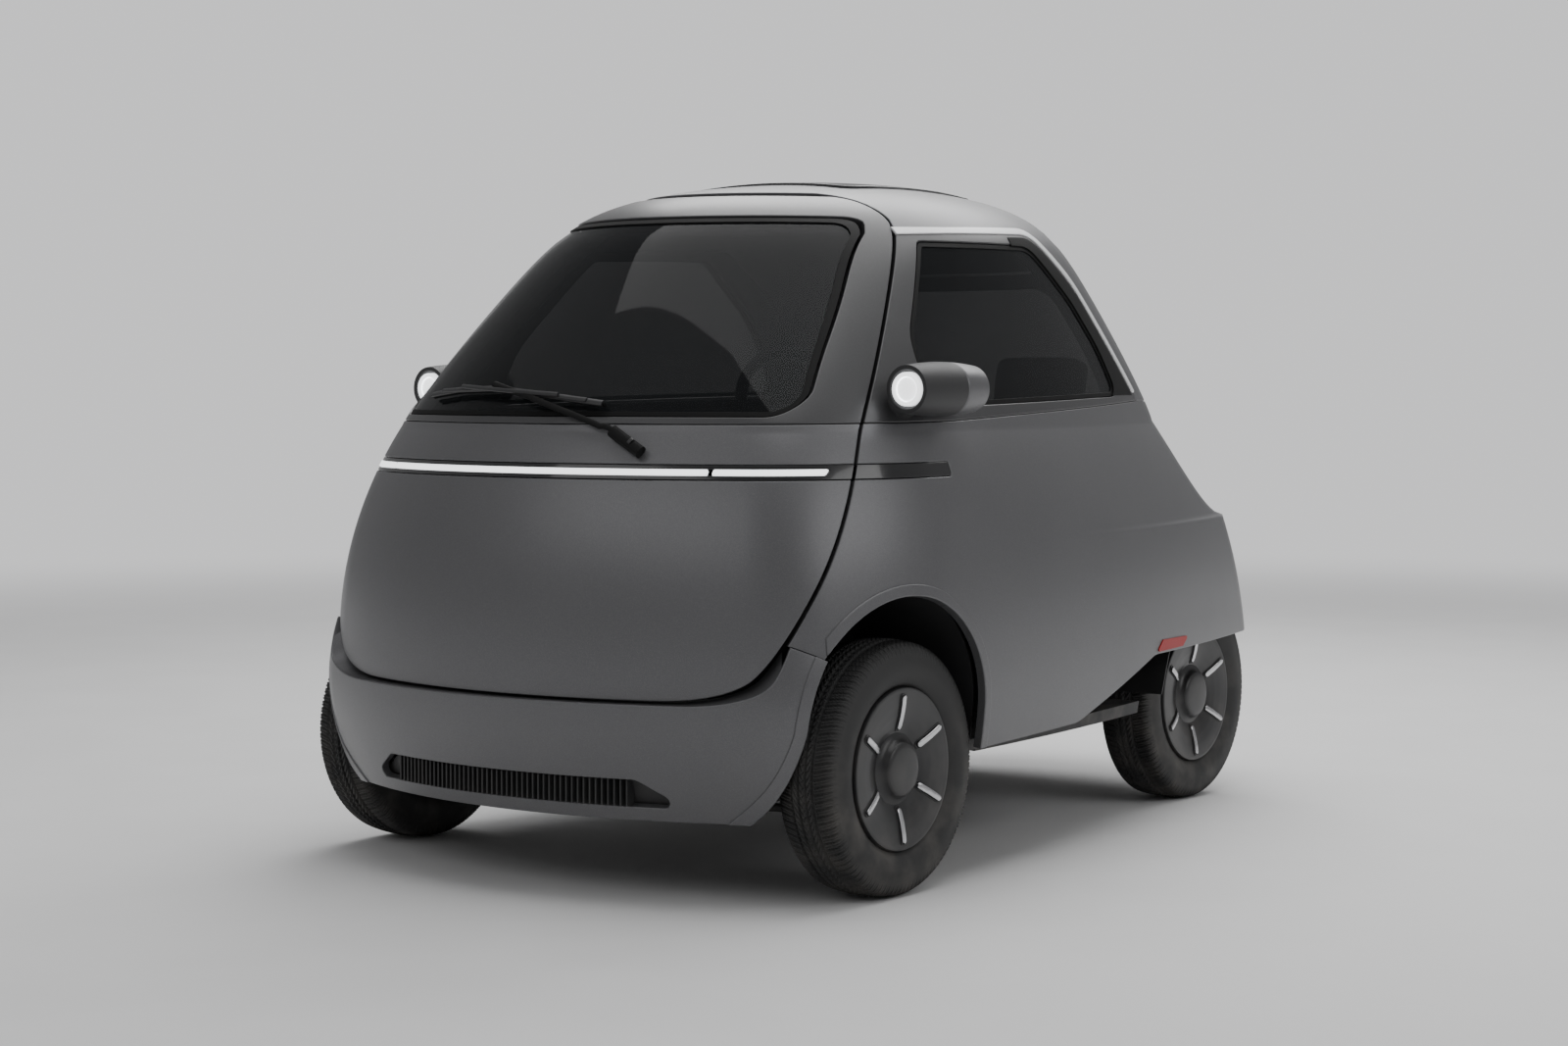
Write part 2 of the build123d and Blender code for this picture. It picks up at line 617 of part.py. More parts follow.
def make_rear_suspension():
    """Trailing arms under the floor, turned up beside the wheels to their stub axles."""
    low = TYRE_RADIUS - 60
    arm = box_between((306, 372), (360, REAR_AXLE_Y + 35), (low, UNDER_Z))
    arm -= box_between((350, 372), (0, REAR_AXLE_Y - 35), (0, 600))
    arm += box_between((356, 372), (REAR_AXLE_Y - 35, REAR_AXLE_Y + 35), (low, TYRE_RADIUS + 30))
    x = REAR_TRACK_HALF + TYRE_WIDTH / 2 - 26
    axle = rod((358, REAR_AXLE_Y, TYRE_RADIUS), (x, REAR_AXLE_Y, TYRE_RADIUS), 24)
    return both_sides(arm + axle)


# ---------------------------------------------------------------- cabin
def make_dash():
    """Dash beam across the cabin between the pillars."""
    beam = extrude(Plane.YZ * Face(rounded([(-735, 890, 20), (-735, 965, 30), (-640, 975, 30), (-620, 900, 20)])), 900,
                   both=True)
    return (beam & form(WALL)) - make_column()


WHEEL_CENTRE = (STEER_X, -560.0, 945.0)
WHEEL_TILT = 28.0
WHEEL_RIM = 172.0
COLUMN_RADIUS = 30.0


def column_point(distance):
    """Point on the steering axis, towards the driver."""
    angle = math.radians(WHEEL_TILT)
    x, y, z = WHEEL_CENTRE
    return (x, y + distance * math.cos(angle), z + distance * math.sin(angle))


def make_column():
    """Steering column from the dash to just under the wheel."""
    return rod(column_point(-150), column_point(-16), COLUMN_RADIUS)


def make_steering_wheel():
    """Rim, hub and three spokes."""
    centre = Vector(*WHEEL_CENTRE)
    toward = Vector(*column_point(1)) - centre
    plane = Plane(origin=centre, x_dir=(1, 0, 0), z_dir=toward)
    part = plane * Torus(WHEEL_RIM, 14)
    part += plane * Pos(0, 0, -5) * Cylinder(46, 18)
    for angle in (0, 90, 180):
        part += plane * Rot(0, 0, angle) * Pos(WHEEL_RIM / 2, 0, 0) * Box(WHEEL_RIM - 4, 26, 9)
    return part


SEAT_LOW_Z = 440.0       # top of the battery box, which carries the bench
SEAT_TOP_Z = 560.0
SEAT_Y = (-110.0, 330.0)
BACK_LEAN = 14.0
BACK_HALF = 405.0
HEADREST_X = 230.0


def on_back(depth, height):
    """Place on the leaning backrest: depth behind its front face, height up it."""
    return Pos(0, SEAT_Y[1] - 10, SEAT_TOP_Z + 2) * Rot(-BACK_LEAN, 0, 0) * Pos(0, depth, height)


def make_seat():
    """Bench cushion and the backrest with two headrests."""
    cushion = box_between((-SEAT_HALF, SEAT_HALF), SEAT_Y, (SEAT_LOW_Z, SEAT_TOP_Z))
    cushion = fillet(cushion.edges(), 30)
    back = on_back(50, 215) * Box(2 * BACK_HALF, 90, 410)
    back = fillet(back.edges(), 30)
    for side in (-1, 1):
        rest = on_back(55, 500) * Pos(side * HEADREST_X, 0, 0) * Box(250, 80, 130)
        back += fillet(rest.edges(), 25)
        for post in (-45, 45):
            back += on_back(55, 430) * Pos(side * HEADREST_X + post, 0, 0) * Cylinder(8, 90)
    return cushion, back


def make_pod():
    """Left pod: lamp in front, mirror behind, on a short stem."""
    length = POD_REAR_Y - POD_FRONT_Y
    profile = Wire([Line((0, 0), (46, 0)), ThreePointArc((46, 0), (54, 0.22 * length), (56, 0.5 * length)),
                    ThreePointArc((56, 0.5 * length), (54, 0.78 * length), (46, length)),
                    Line((46, length), (0, length)), Line((0, length), (0, 0))])
    pod = revolve(Plane.XY * Face(profile), Axis.Y)
    pod = Pos(POD_X, POD_FRONT_Y, POD_Z) * pod
    lens = rod((POD_X, POD_FRONT_Y - 3, POD_Z), (POD_X, POD_FRONT_Y + 12, POD_Z), 37)
    glass = rod((POD_X, POD_REAR_Y - 6, POD_Z), (POD_X, POD_REAR_Y + 2, POD_Z), 42)
    stem = rod((560, -625, 1000), (POD_X, -625, 1012), 20)
    pod = (pod + stem) - form() - lens - glass
    return pod, lens, glass


def save(name, shape):
    """Write one node and print its solids."""
    solids = shape.solids()
    if len(solids) == 1:
        shape = solids[0]
    print(name, [round(s.volume / 1e3) for s in solids][:6], shape.is_valid)
    export_step(shape, f"parts/{name}.step")


def main():
    """Build every node."""
    os.makedirs("parts", exist_ok=True)
    shell = form() - form(WALL, TUB_LOW_Z - 20)
    nose_shell = bumper_form() - bumper_form(WALL, TUB_LOW_Z - 20)
    panel, frame = make_door(shell)
    save("door_panel", panel)
    save("screen_frame", frame)
    for name, shape in zip(("side_left", "side_right"), make_sides(shell)):
        save(name, shape)
    save("front_bumper", make_bumper(nose_shell))
    save("grille", make_grille())
    for name, shape in zip(("roof", "window_frame_left", "window_frame_right"), make_upper(shell)):
        save(name, shape)
    save("rear_body", make_rear(shell))
    save("tailgate", make_tailgate(shell))
    for name, shape in zip(("windscreen", "side_glass_left", "side_glass_right", "rear_glass"), make_glass()):
        save(name, shape)
    for name, shape in zip(("nose_strip", "light_line", "side_strips"), make_strips()):
        save(name, shape)
    save("drip_strips", make_drip_strips())
    save("side_reflectors", raised(tub, side_prism(REFLECTOR)))
    save("tail_lamps", raised(tub, box_between((-400, 400), (800, 1500), (640, 668))))
    save("wiper", make_wiper())
    save("boot_floor", make_boot_floor())
    save("sunroof", raised(house, box_between((-235, 235), (-330, 190), (1300, 1600)), SUNROOF_RISE))
    save("floor_pan", make_floor())
    liner = make_front_liner()
    save("front_liner_left", liner)
    save("front_liner_right", mirror(liner, Plane.YZ))
    liner = make_rear_liner()
    save("rear_liners", both_sides(liner))
    for end, x, y in (("f", FRONT_TRACK_HALF, FRONT_AXLE_Y), ("r", REAR_TRACK_HALF, REAR_AXLE_Y)):
        for hand, side in (("l", 1), ("r", -1)):
            save(f"tyre_{end}{hand}", tyre(side * x, y))
            save(f"wheel_{end}{hand}", rim(side * x, y, side))
    knuckle = make_knuckle()
    save("knuckle_left", knuckle)
    save("knuckle_right", mirror(knuckle, Plane.YZ))
    save("front_suspension", make_front_suspension())
    save("rear_suspension", make_rear_suspension())
    save("battery", box_between((-450, 450), (-90, 320), (FLOOR_Z + FLOOR_THICK, SEAT_LOW_Z)))
    save("motor", box_between((-180, 180), (620, 900), (200, UNDER_Z)))
    save("dash", make_dash())
    save("steering_column", make_column())
    save("steering_wheel", make_steering_wheel())
    cushion, back = make_seat()
    save("seat_cushion", cushion)
    save("seat_back", back)
    pod, lens, glass = make_pod()
    save("pods", both_sides(pod))
    save("pod_lamps", both_sides(lens))
    save("pod_mirrors", both_sides(glass))


if __name__ == "__main__":
    main()
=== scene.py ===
"""Two-seat microcar: painted skin, glass, lamps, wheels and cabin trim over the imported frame.

Frame: metres, +Z up, the nose points to -Y, the car's left side is +X.
The body's formula works in millimetres and is scaled once, where a mesh is written.
"""
import logging
import math
from dataclasses import dataclass
from enum import Enum
from typing import Callable, Optional, Sequence

import bpy
import numpy as np
from mathutils import Matrix, Vector


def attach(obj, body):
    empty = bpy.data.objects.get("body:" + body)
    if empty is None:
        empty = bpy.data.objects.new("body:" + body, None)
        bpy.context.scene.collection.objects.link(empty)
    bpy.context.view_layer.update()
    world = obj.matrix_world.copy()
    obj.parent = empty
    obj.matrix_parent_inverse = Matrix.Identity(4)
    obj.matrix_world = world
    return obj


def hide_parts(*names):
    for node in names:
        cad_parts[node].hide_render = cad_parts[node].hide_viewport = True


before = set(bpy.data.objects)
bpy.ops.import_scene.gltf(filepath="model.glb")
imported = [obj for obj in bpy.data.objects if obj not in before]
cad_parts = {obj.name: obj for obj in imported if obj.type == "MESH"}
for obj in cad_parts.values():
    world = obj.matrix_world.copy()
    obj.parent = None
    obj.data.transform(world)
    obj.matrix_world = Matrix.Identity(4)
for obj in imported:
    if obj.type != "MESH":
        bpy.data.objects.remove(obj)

LOG = logging.getLogger("microcar")
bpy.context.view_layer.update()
Array = np.ndarray
MM = 0.001              # metres in a millimetre
FAR = 1e9               # beyond any size of the car, in millimetres
SMALL_TURN = 2e-4       # step in u for a normal
SMALL_RISE = 0.6        # step in h for a normal


def smooth_step(value: Array, low: float, high: float) -> Array:
    """Zero below low, one above high, and a cubic ease between them."""
    t = np.clip((value - low) / (high - low), 0.0, 1.0)
    return t * t * (3.0 - 2.0 * t)


# ---------------------------------------------------------------- body form
class Form(Enum):
    """The two forms that the skin is taken from."""
    BODY = "body"
    BUMPER = "bumper"


@dataclass(frozen=True)
class BodyForm:
    """Outer form of the body over two parameters, in millimetres.

    u runs round a level plan section: 0 at the middle of the nose, 0.5 at the widest
    station of the left side, 1 at the middle of the tail, and the right side mirrors it.
    h runs up: it is the height up to the shoulder of the roof, and beyond that it counts
    down the dome factor, so that the rows close evenly at the crown.
    """
    length: float = 2519.0
    width: float = 1473.0
    belt: float = 940.0
    crown: float = 1487.05
    bulge: float = 480.0
    crease: float = 700.0
    skirt: float = 395.0
    low: float = 168.0
    door_set: float = 14.0
    bumper_swell: float = 18.8
    front_radius: float = 888.0
    side_radius: float = 1060.0
    tail_rake: float = 122.0
    deck_run: float = 296.0
    side_lean: float = 195.0
    screen_lean: float = 425.0
    rear_lean: float = 416.0
    house_round: float = 0.8
    crown_y: float = -60.0
    widest_y: float = -690.0
    shoulder: float = 0.75
    dome_span: float = 420.0
    dome_power: float = 12.0
    lean_power: float = 1.17
    rear_lean_power: float = 1.11
    deck_power: float = 0.56
    widest_shift: float = 70.0
    nose_corner: float = 300.0
    nose_tighter: float = 20.0
    tail_corner: float = 235.0
    tail_rounder: float = 25.0
    bumper_bulge: float = 320.0
    bumper_wave: float = 560.0
    bumper_merge: float = 200.0
    bumper_corner: float = 175.0
    nose_turns: tuple = (28.0, 68.0)
    nose_breaks: tuple = (0.48, 0.63)
    tail_turns: tuple = (20.0, 75.0)
    tail_breaks: tuple = (0.20, 0.31)
    ceiling_margin: float = 4.0

    @property
    def shoulder_h(self) -> float:
        """Row parameter at the shoulder of the roof."""
        return self.belt + self.shoulder * (self.crown - self.belt)

    @property
    def top_h(self) -> float:
        """Row parameter at the crown."""
        return self.shoulder_h + self.dome_span

    def height_share(self, h: Array) -> Array:
        """Share of the glasshouse's height at row parameter h: straight, then by the dome."""
        straight = (h - self.belt) / (self.crown - self.belt)
        start = math.sqrt(1.0 - self.shoulder ** self.dome_power)
        dome = start * np.clip(1.0 - (h - self.shoulder_h) / self.dome_span, 0.0, 1.0)
        return np.where(h <= self.shoulder_h, straight,
                        (1.0 - dome ** 2) ** (1.0 / self.dome_power))

    def tub(self, z: Array) -> tuple[Array, ...]:
        """Half width, front, widest station, rear and the two corners of the tub at height z.

        The nose and the flanks are circles in side and front view, the tail is a straight
        rake up to the crease, and above it the deck runs forward by a power of the height.
        """
        rise = z - self.bulge
        bow = np.sqrt(self.front_radius ** 2 - rise ** 2)
        front = -self.length / 2 + self.door_set + self.front_radius - bow
        half = self.width / 2 - self.side_radius + np.sqrt(self.side_radius ** 2 - rise ** 2)
        tail = self.length / 2 - self.tail_rake * (z - self.skirt) / (self.crease - self.skirt)
        deck = np.clip((z - self.crease) / (self.belt - self.crease), 0.0, 1.0)
        above = self.length / 2 - self.tail_rake - self.deck_run * deck ** self.deck_power
        rear = np.where(z <= self.crease, tail, above)
        up = np.clip(rise, 0.0, None) / (self.belt - self.bulge)
        return (half, front, self.widest_y + self.widest_shift * up, rear,
                self.nose_corner - self.nose_tighter * up,
                self.tail_corner + self.tail_rounder * up)

    def bumper(self, z: Array) -> tuple[Array, ...]:
        """The same sizes for the nose below the door: fuller, with tighter corners."""
        half, front, widest, rear, corner, tail = self.tub(z)
        swell = np.cos(np.pi * (z - self.bumper_bulge) / self.bumper_wave)
        merge = np.clip((z - self.bumper_bulge) / self.bumper_merge, 0.0, 1.0)
        corner = self.bumper_corner + (corner - self.bumper_corner) * merge ** 2
        return half, front - self.bumper_swell * swell, widest, rear, corner, tail

    def house(self, h: Array) -> tuple[Array, ...]:
        """The same sizes for the glasshouse: a lean times a superellipse dome."""
        t = np.clip(self.height_share(h), 0.0, 1.0)
        dome = np.sqrt(np.clip(1.0 - t ** self.dome_power, 0.0, 1.0))
        lean = t ** self.lean_power
        round_up = (1.0 + self.house_round * t) * dome
        half, front, widest, rear, corner, tail = self.tub(np.full_like(h, self.belt))
        middle = self.crown_y
        return ((half - self.side_lean * lean) * dome,
                middle + (front - middle + self.screen_lean * lean) * dome,
                middle + (widest - middle) * (1.0 - t) * dome,
                middle + (rear - middle - self.rear_lean * t ** self.rear_lean_power) * dome,
                corner * round_up, tail * round_up)

    @staticmethod
    def quarter(share: Array, width: Array, depth: Array, corner: Array,
                turns: tuple[float, float], breaks: tuple[float, float]) -> tuple[Array, Array]:
        """Distances out and along of a chain of three tangent arcs, for share 0 to 1.

        The end arc turns from 0 to turns[0] degrees, the corner arc to turns[1] and the side
        arc to 90; both outer radii follow from the width and the depth that the chain spans.
        """
        low, high = (math.radians(a) for a in turns)
        s1, c1, s2, c2 = math.sin(low), math.cos(low), math.sin(high), math.cos(high)
        a = width - corner * (s2 - s1)
        b = depth - corner * (c1 - c2)
        det = s1 * c2 - (1.0 - s2) * (1.0 - c1)
        end = (a * c2 - b * (1.0 - s2)) / det
        side = (s1 * b - (1.0 - c1) * a) / det
        angle = np.interp(share, (0.0, breaks[0], breaks[1], 1.0), (0.0, low, high, math.pi / 2))
        first, third = np.minimum(angle, low), np.maximum(angle, high)
        second = np.clip(angle, low, high)
        out = end * np.sin(first) + corner * (np.sin(second) - s1) + side * (np.sin(third) - s2)
        along = depth - end * (1.0 - np.cos(first)) - corner * (c1 - np.cos(second))
        along = along - side * (c2 - np.cos(third))
        return out, along

    def points(self, uh: Array, form: Form = Form.BODY) -> Array:
        """Surface points for rows of (u, h)."""
        u, h = uh[:, 0], uh[:, 1]
        turn = np.mod(u + 1.0, 2.0) - 1.0
        sign = np.where(turn < 0.0, -1.0, 1.0)
        turn = np.abs(turn)
        if form is Form.BUMPER:
            sizes = self.bumper(h)
            z = h
        else:
            z = np.where(h <= self.belt, h,
                         self.belt + self.height_share(h) * (self.crown - self.belt))
            above = self.house(np.maximum(h, self.belt))
            below = self.tub(np.minimum(h, self.belt))
            sizes = tuple(np.where(h <= self.belt, a, b) for a, b in zip(below, above))
        half, front, widest, rear, nose_corner, tail_corner = sizes
        x1, y1 = self.quarter(np.clip(2.0 * turn, 0, 1), half, widest - front, nose_corner,
                              self.nose_turns, self.nose_breaks)
        x2, y2 = self.quarter(np.clip(2.0 - 2.0 * turn, 0, 1), half, rear - widest, tail_corner,
                              self.tail_turns, self.tail_breaks)
        ahead = turn < 0.5
        x, y = sign * np.where(ahead, x1, x2), np.where(ahead, widest - y1, widest + y2)
        return np.stack([x, y, z], axis=1)

    def normals(self, uh: Array, form: Form = Form.BODY) -> Array:
        """Outward unit normals: the cross product of small steps along both parameters."""
        du, dh = np.array([[SMALL_TURN, 0.0]]), np.array([[0.0, SMALL_RISE]])
        ceiling = self.top_h if form is Form.BODY else FAR
        below = uh - dh
        above = np.stack([uh[:, 0], np.minimum(uh[:, 1] + SMALL_RISE, ceiling - 0.01)], axis=1)
        along = self.points(uh + du, form) - self.points(uh - du, form)
        up = self.points(above, form) - self.points(below, form)
        n = np.cross(along, up)
        size = np.linalg.norm(n, axis=1, keepdims=True)
        n = n / np.maximum(size, 1e-9)
        flat = (size[:, 0] < 1e-6) | (uh[:, 1] > ceiling - self.ceiling_margin)
        n[flat] = (0.0, 0.0, 1.0)
        return n


BODY = BodyForm()


# ---------------------------------------------------------------- outlines
class View(Enum):
    """The flat view that an outline is drawn in, as the two axes it uses."""
    SIDE = (1, 2)
    FRONT = (0, 2)
    PLAN = (0, 1)


@dataclass(frozen=True)
class Outline:
    """Closed outline of straight runs with rounded corners, given as (a, b, radius)."""
    corners: tuple
    view: View = View.SIDE

    def path(self) -> Array:
        """Points along the outline: each corner is an arc tangent to both of its runs."""
        pts = np.array([(a, b) for a, b, _ in self.corners], float)
        out: list[Array] = []
        for i, (_, _, radius) in enumerate(self.corners):
            here, last, after = pts[i], pts[i - 1], pts[(i + 1) % len(pts)]
            a = (last - here) / np.linalg.norm(last - here)
            b = (after - here) / np.linalg.norm(after - here)
            angle = math.acos(float(np.clip(a @ b, -1.0, 1.0)))
            if not radius or angle > 3.1:
                out.append(here[None])
                continue
            reach = radius / math.tan(angle / 2)
            middle = here + (a + b) / np.linalg.norm(a + b) * radius / math.sin(angle / 2)
            start, stop = here + a * reach - middle, here + b * reach - middle
            sweep = math.pi - angle
            steps = np.linspace(0.0, 1.0, max(6, int(math.degrees(sweep) / 5)))
            w0 = np.sin((1 - steps) * sweep) / math.sin(sweep)
            w1 = np.sin(steps * sweep) / math.sin(sweep)
            out.append(middle + w0[:, None] * start + w1[:, None] * stop)
        return np.concatenate(out)

    def distance(self, points: Array) -> Array:
        """Signed distance of points to the outline in its view: negative inside."""
        q = points[:, list(self.view.value)]
        path = self.path()
        following = np.roll(path, -1, axis=0)
        best = np.full(len(q), 1e18)
        inside = np.zeros(len(q), bool)
        for a, b in zip(path, following):
            run = b - a
            t = np.clip(((q - a) @ run) / max(run @ run, 1e-12), 0.0, 1.0)
            best = np.minimum(best, ((q - a - t[:, None] * run) ** 2).sum(1))
            crosses = (a[1] > q[:, 1]) != (b[1] > q[:, 1])
            if run[1]:
                inside ^= crosses & (q[:, 0] < a[0] + (q[:, 1] - a[1]) * run[0] / run[1])
        return np.sqrt(best) * np.where(inside, -1.0, 1.0)


def mirrored(half: Sequence) -> tuple:
    """Closed symmetric outline from its +X half."""
    return tuple(half) + tuple((-x, z, r) for x, z, r in half[::-1])


def rectangle(a: tuple[float, float], b: tuple[float, float], radius: float, view: View) -> Outline:
    """Rounded rectangle between two pairs of coordinates."""
    return Outline(((a[0], b[0], radius), (a[1], b[0], radius), (a[1], b[1], radius),
                    (a[0], b[1], radius)), view)


DOOR_SEAM = Outline(((-1500, 406, 0), (-1122, 410, 95), (-1036, 579, 1200), (-805, 942, 1000),
                     (-426, 1384, 55), (-436, 1438, 25), (-1500, 1448, 0)))
SCREEN_OPENING = Outline(mirrored([(544, 968, 42), (480, 1190, 1400), (404, 1384, 60)]), View.FRONT)
SIDE_WINDOW = Outline(((-578, 984, 20), (-563, 1128, 120), (-400, 1336, 22), (48, 1343, 120),
                       (216, 1222, 300), (320, 1116, 300), (386, 1004, 25)))
DRIP_LINE = Outline(((-900, 1352, 0), (-452, 1357, 0), (85, 1378, 170), (262, 1266, 400),
                     (530, 995, 0), (530, 900, 0), (-900, 900, 0)))
BELT_LINE = Outline(((-1600, 948, 0), (-500, 954, 0), (520, 990, 0), (1600, 990, 0),
                     (1600, 1700, 0), (-1600, 1700, 0)))
BUMPER_SEAM = Outline(((-1600, 100, 0), (-1600, 600, 0), (-1140, 562, 0), (-900, 440, 0),
                       (-900, 100, 0)))
SKIRT_LINE = Outline(((-700, 0, 0), (-700, 270, 0), (-90, 285, 120), (320, 402, 120),
                      (1500, 396, 0), (1500, 0, 0)))
TAILGATE = Outline(mirrored([(385, 790, 60), (300, 1325, 90)]), View.FRONT)
REAR_GLASS = Outline(mirrored([(312, 964, 50), (258, 1285, 70)]), View.FRONT)
REAR_SEAM = Outline(mirrored([(430, 60, 0), (430, 1010, 0)]), View.FRONT)
GRILLE = Outline(mirrored([(425, 196, 12), (335, 250, 30)]), View.FRONT)
SUNROOF = rectangle((-235, 235), (-330, 190), 40, View.PLAN)


ARCH_CENTRE = (-785, 350)
ARCH_RADIUS = 258
ARCH_FEET = ((-1085, 60, 0), (-512, 60, 0))


def arch_outline() -> Outline:
    """Front wheel arch: a half circle over slanted edges, as a run of short chords."""
    y, z = ARCH_CENTRE
    angle = np.radians(np.linspace(0, 180, 37))
    ring = [(y + ARCH_RADIUS * math.cos(a), z + ARCH_RADIUS * math.sin(a), 0) for a in angle]
    return Outline(tuple(ring) + ARCH_FEET)


ARCH = arch_outline()


@dataclass(frozen=True)
class Cut:
    """One trimming step: keep one side of an outline, a gap away from it."""
    outline: Outline
    inside: bool = True
    gap: float = 0.0
    from_y: float = -FAR
    to_y: float = FAR

    def field(self, points: Array, edge: float) -> Array:
        """Value that is negative where the sheet stays."""
        d = self.outline.distance(points)
        value = d + self.gap + edge if self.inside else self.gap + edge - d
        if self.inside:
            return value
        y = points[:, 1]
        return np.where((y >= self.from_y) & (y <= self.to_y), value, -40.0)


# ---------------------------------------------------------------- meshes
@dataclass
class MeshData:
    """Plain mesh arrays with one normal for each corner of each triangle."""
    points: Array
    tris: Array
    corner_normals: Optional[Array] = None

    def merged(self, other: "MeshData") -> "MeshData":
        """Both meshes as one."""
        normals = None
        if self.corner_normals is not None and other.corner_normals is not None:
            normals = np.concatenate([self.corner_normals, other.corner_normals])
        return MeshData(np.concatenate([self.points, other.points]),
                        np.concatenate([self.tris, other.tris + len(self.points)]), normals)

    def mirrored(self) -> "MeshData":
        """The mirror image in the centre plane, faces still outward."""
        flip = np.array([-1.0, 1.0, 1.0])
        normals = None
        if self.corner_normals is not None:
            normals = (self.corner_normals.reshape(-1, 3, 3) * flip)[:, ::-1].reshape(-1, 3)
        return MeshData(self.points * flip, self.tris[:, ::-1].copy(), normals)


def write_mesh(name: str, data: MeshData, sharp: float = 35.0) -> bpy.types.Object:
    """Write arrays, in millimetres, as a mesh object at the origin, in metres.

    Args:
        name: Name of the object.
        data: Points, triangles and, where known, corner normals.
        sharp: Edges over this angle stay sharp where no normals are given.
    Returns:
        The new object, linked to the scene.
    """
    mesh = bpy.data.meshes.new(name)
    tris = np.ascontiguousarray(data.tris, dtype=np.int32)
    mesh.vertices.add(len(data.points))
    mesh.vertices.foreach_set("co",
                              np.ascontiguousarray(data.points * MM, dtype=np.float32).ravel())
    mesh.loops.add(tris.size)
    mesh.loops.foreach_set("vertex_index", tris.ravel())
    mesh.polygons.add(len(tris))
    mesh.polygons.foreach_set("loop_start", np.arange(0, tris.size, 3, dtype=np.int32))
    mesh.update(calc_edges=True)
    mesh.polygons.foreach_set("use_smooth", np.ones(len(tris), bool))
    if data.corner_normals is not None:
        mesh.normals_split_custom_set(data.corner_normals.astype(np.float32))
    else:
        mesh.set_sharp_from_angle(angle=math.radians(sharp))
    mesh.update()
    obj = bpy.data.objects.new(name, mesh)
    bpy.context.scene.collection.objects.link(obj)
    return obj


def grid_tris(rows: int, columns: int, close_rows: bool = False,
              close_columns: bool = False) -> Array:
    """Triangles over a grid of rows x columns points, stored row by row."""
    r = np.arange(rows if close_rows else rows - 1)
    c = np.arange(columns if close_columns else columns - 1)
    rr, cc = np.meshgrid(r, c, indexing="ij")
    a = rr * columns + cc
    b = rr * columns + (cc + 1) % columns
    d = ((rr + 1) % rows) * columns + cc
    e = ((rr + 1) % rows) * columns + (cc + 1) % columns
    return np.concatenate([np.stack([a, b, e], -1).reshape(-1, 3),
                           np.stack([a, e, d], -1).reshape(-1, 3)])


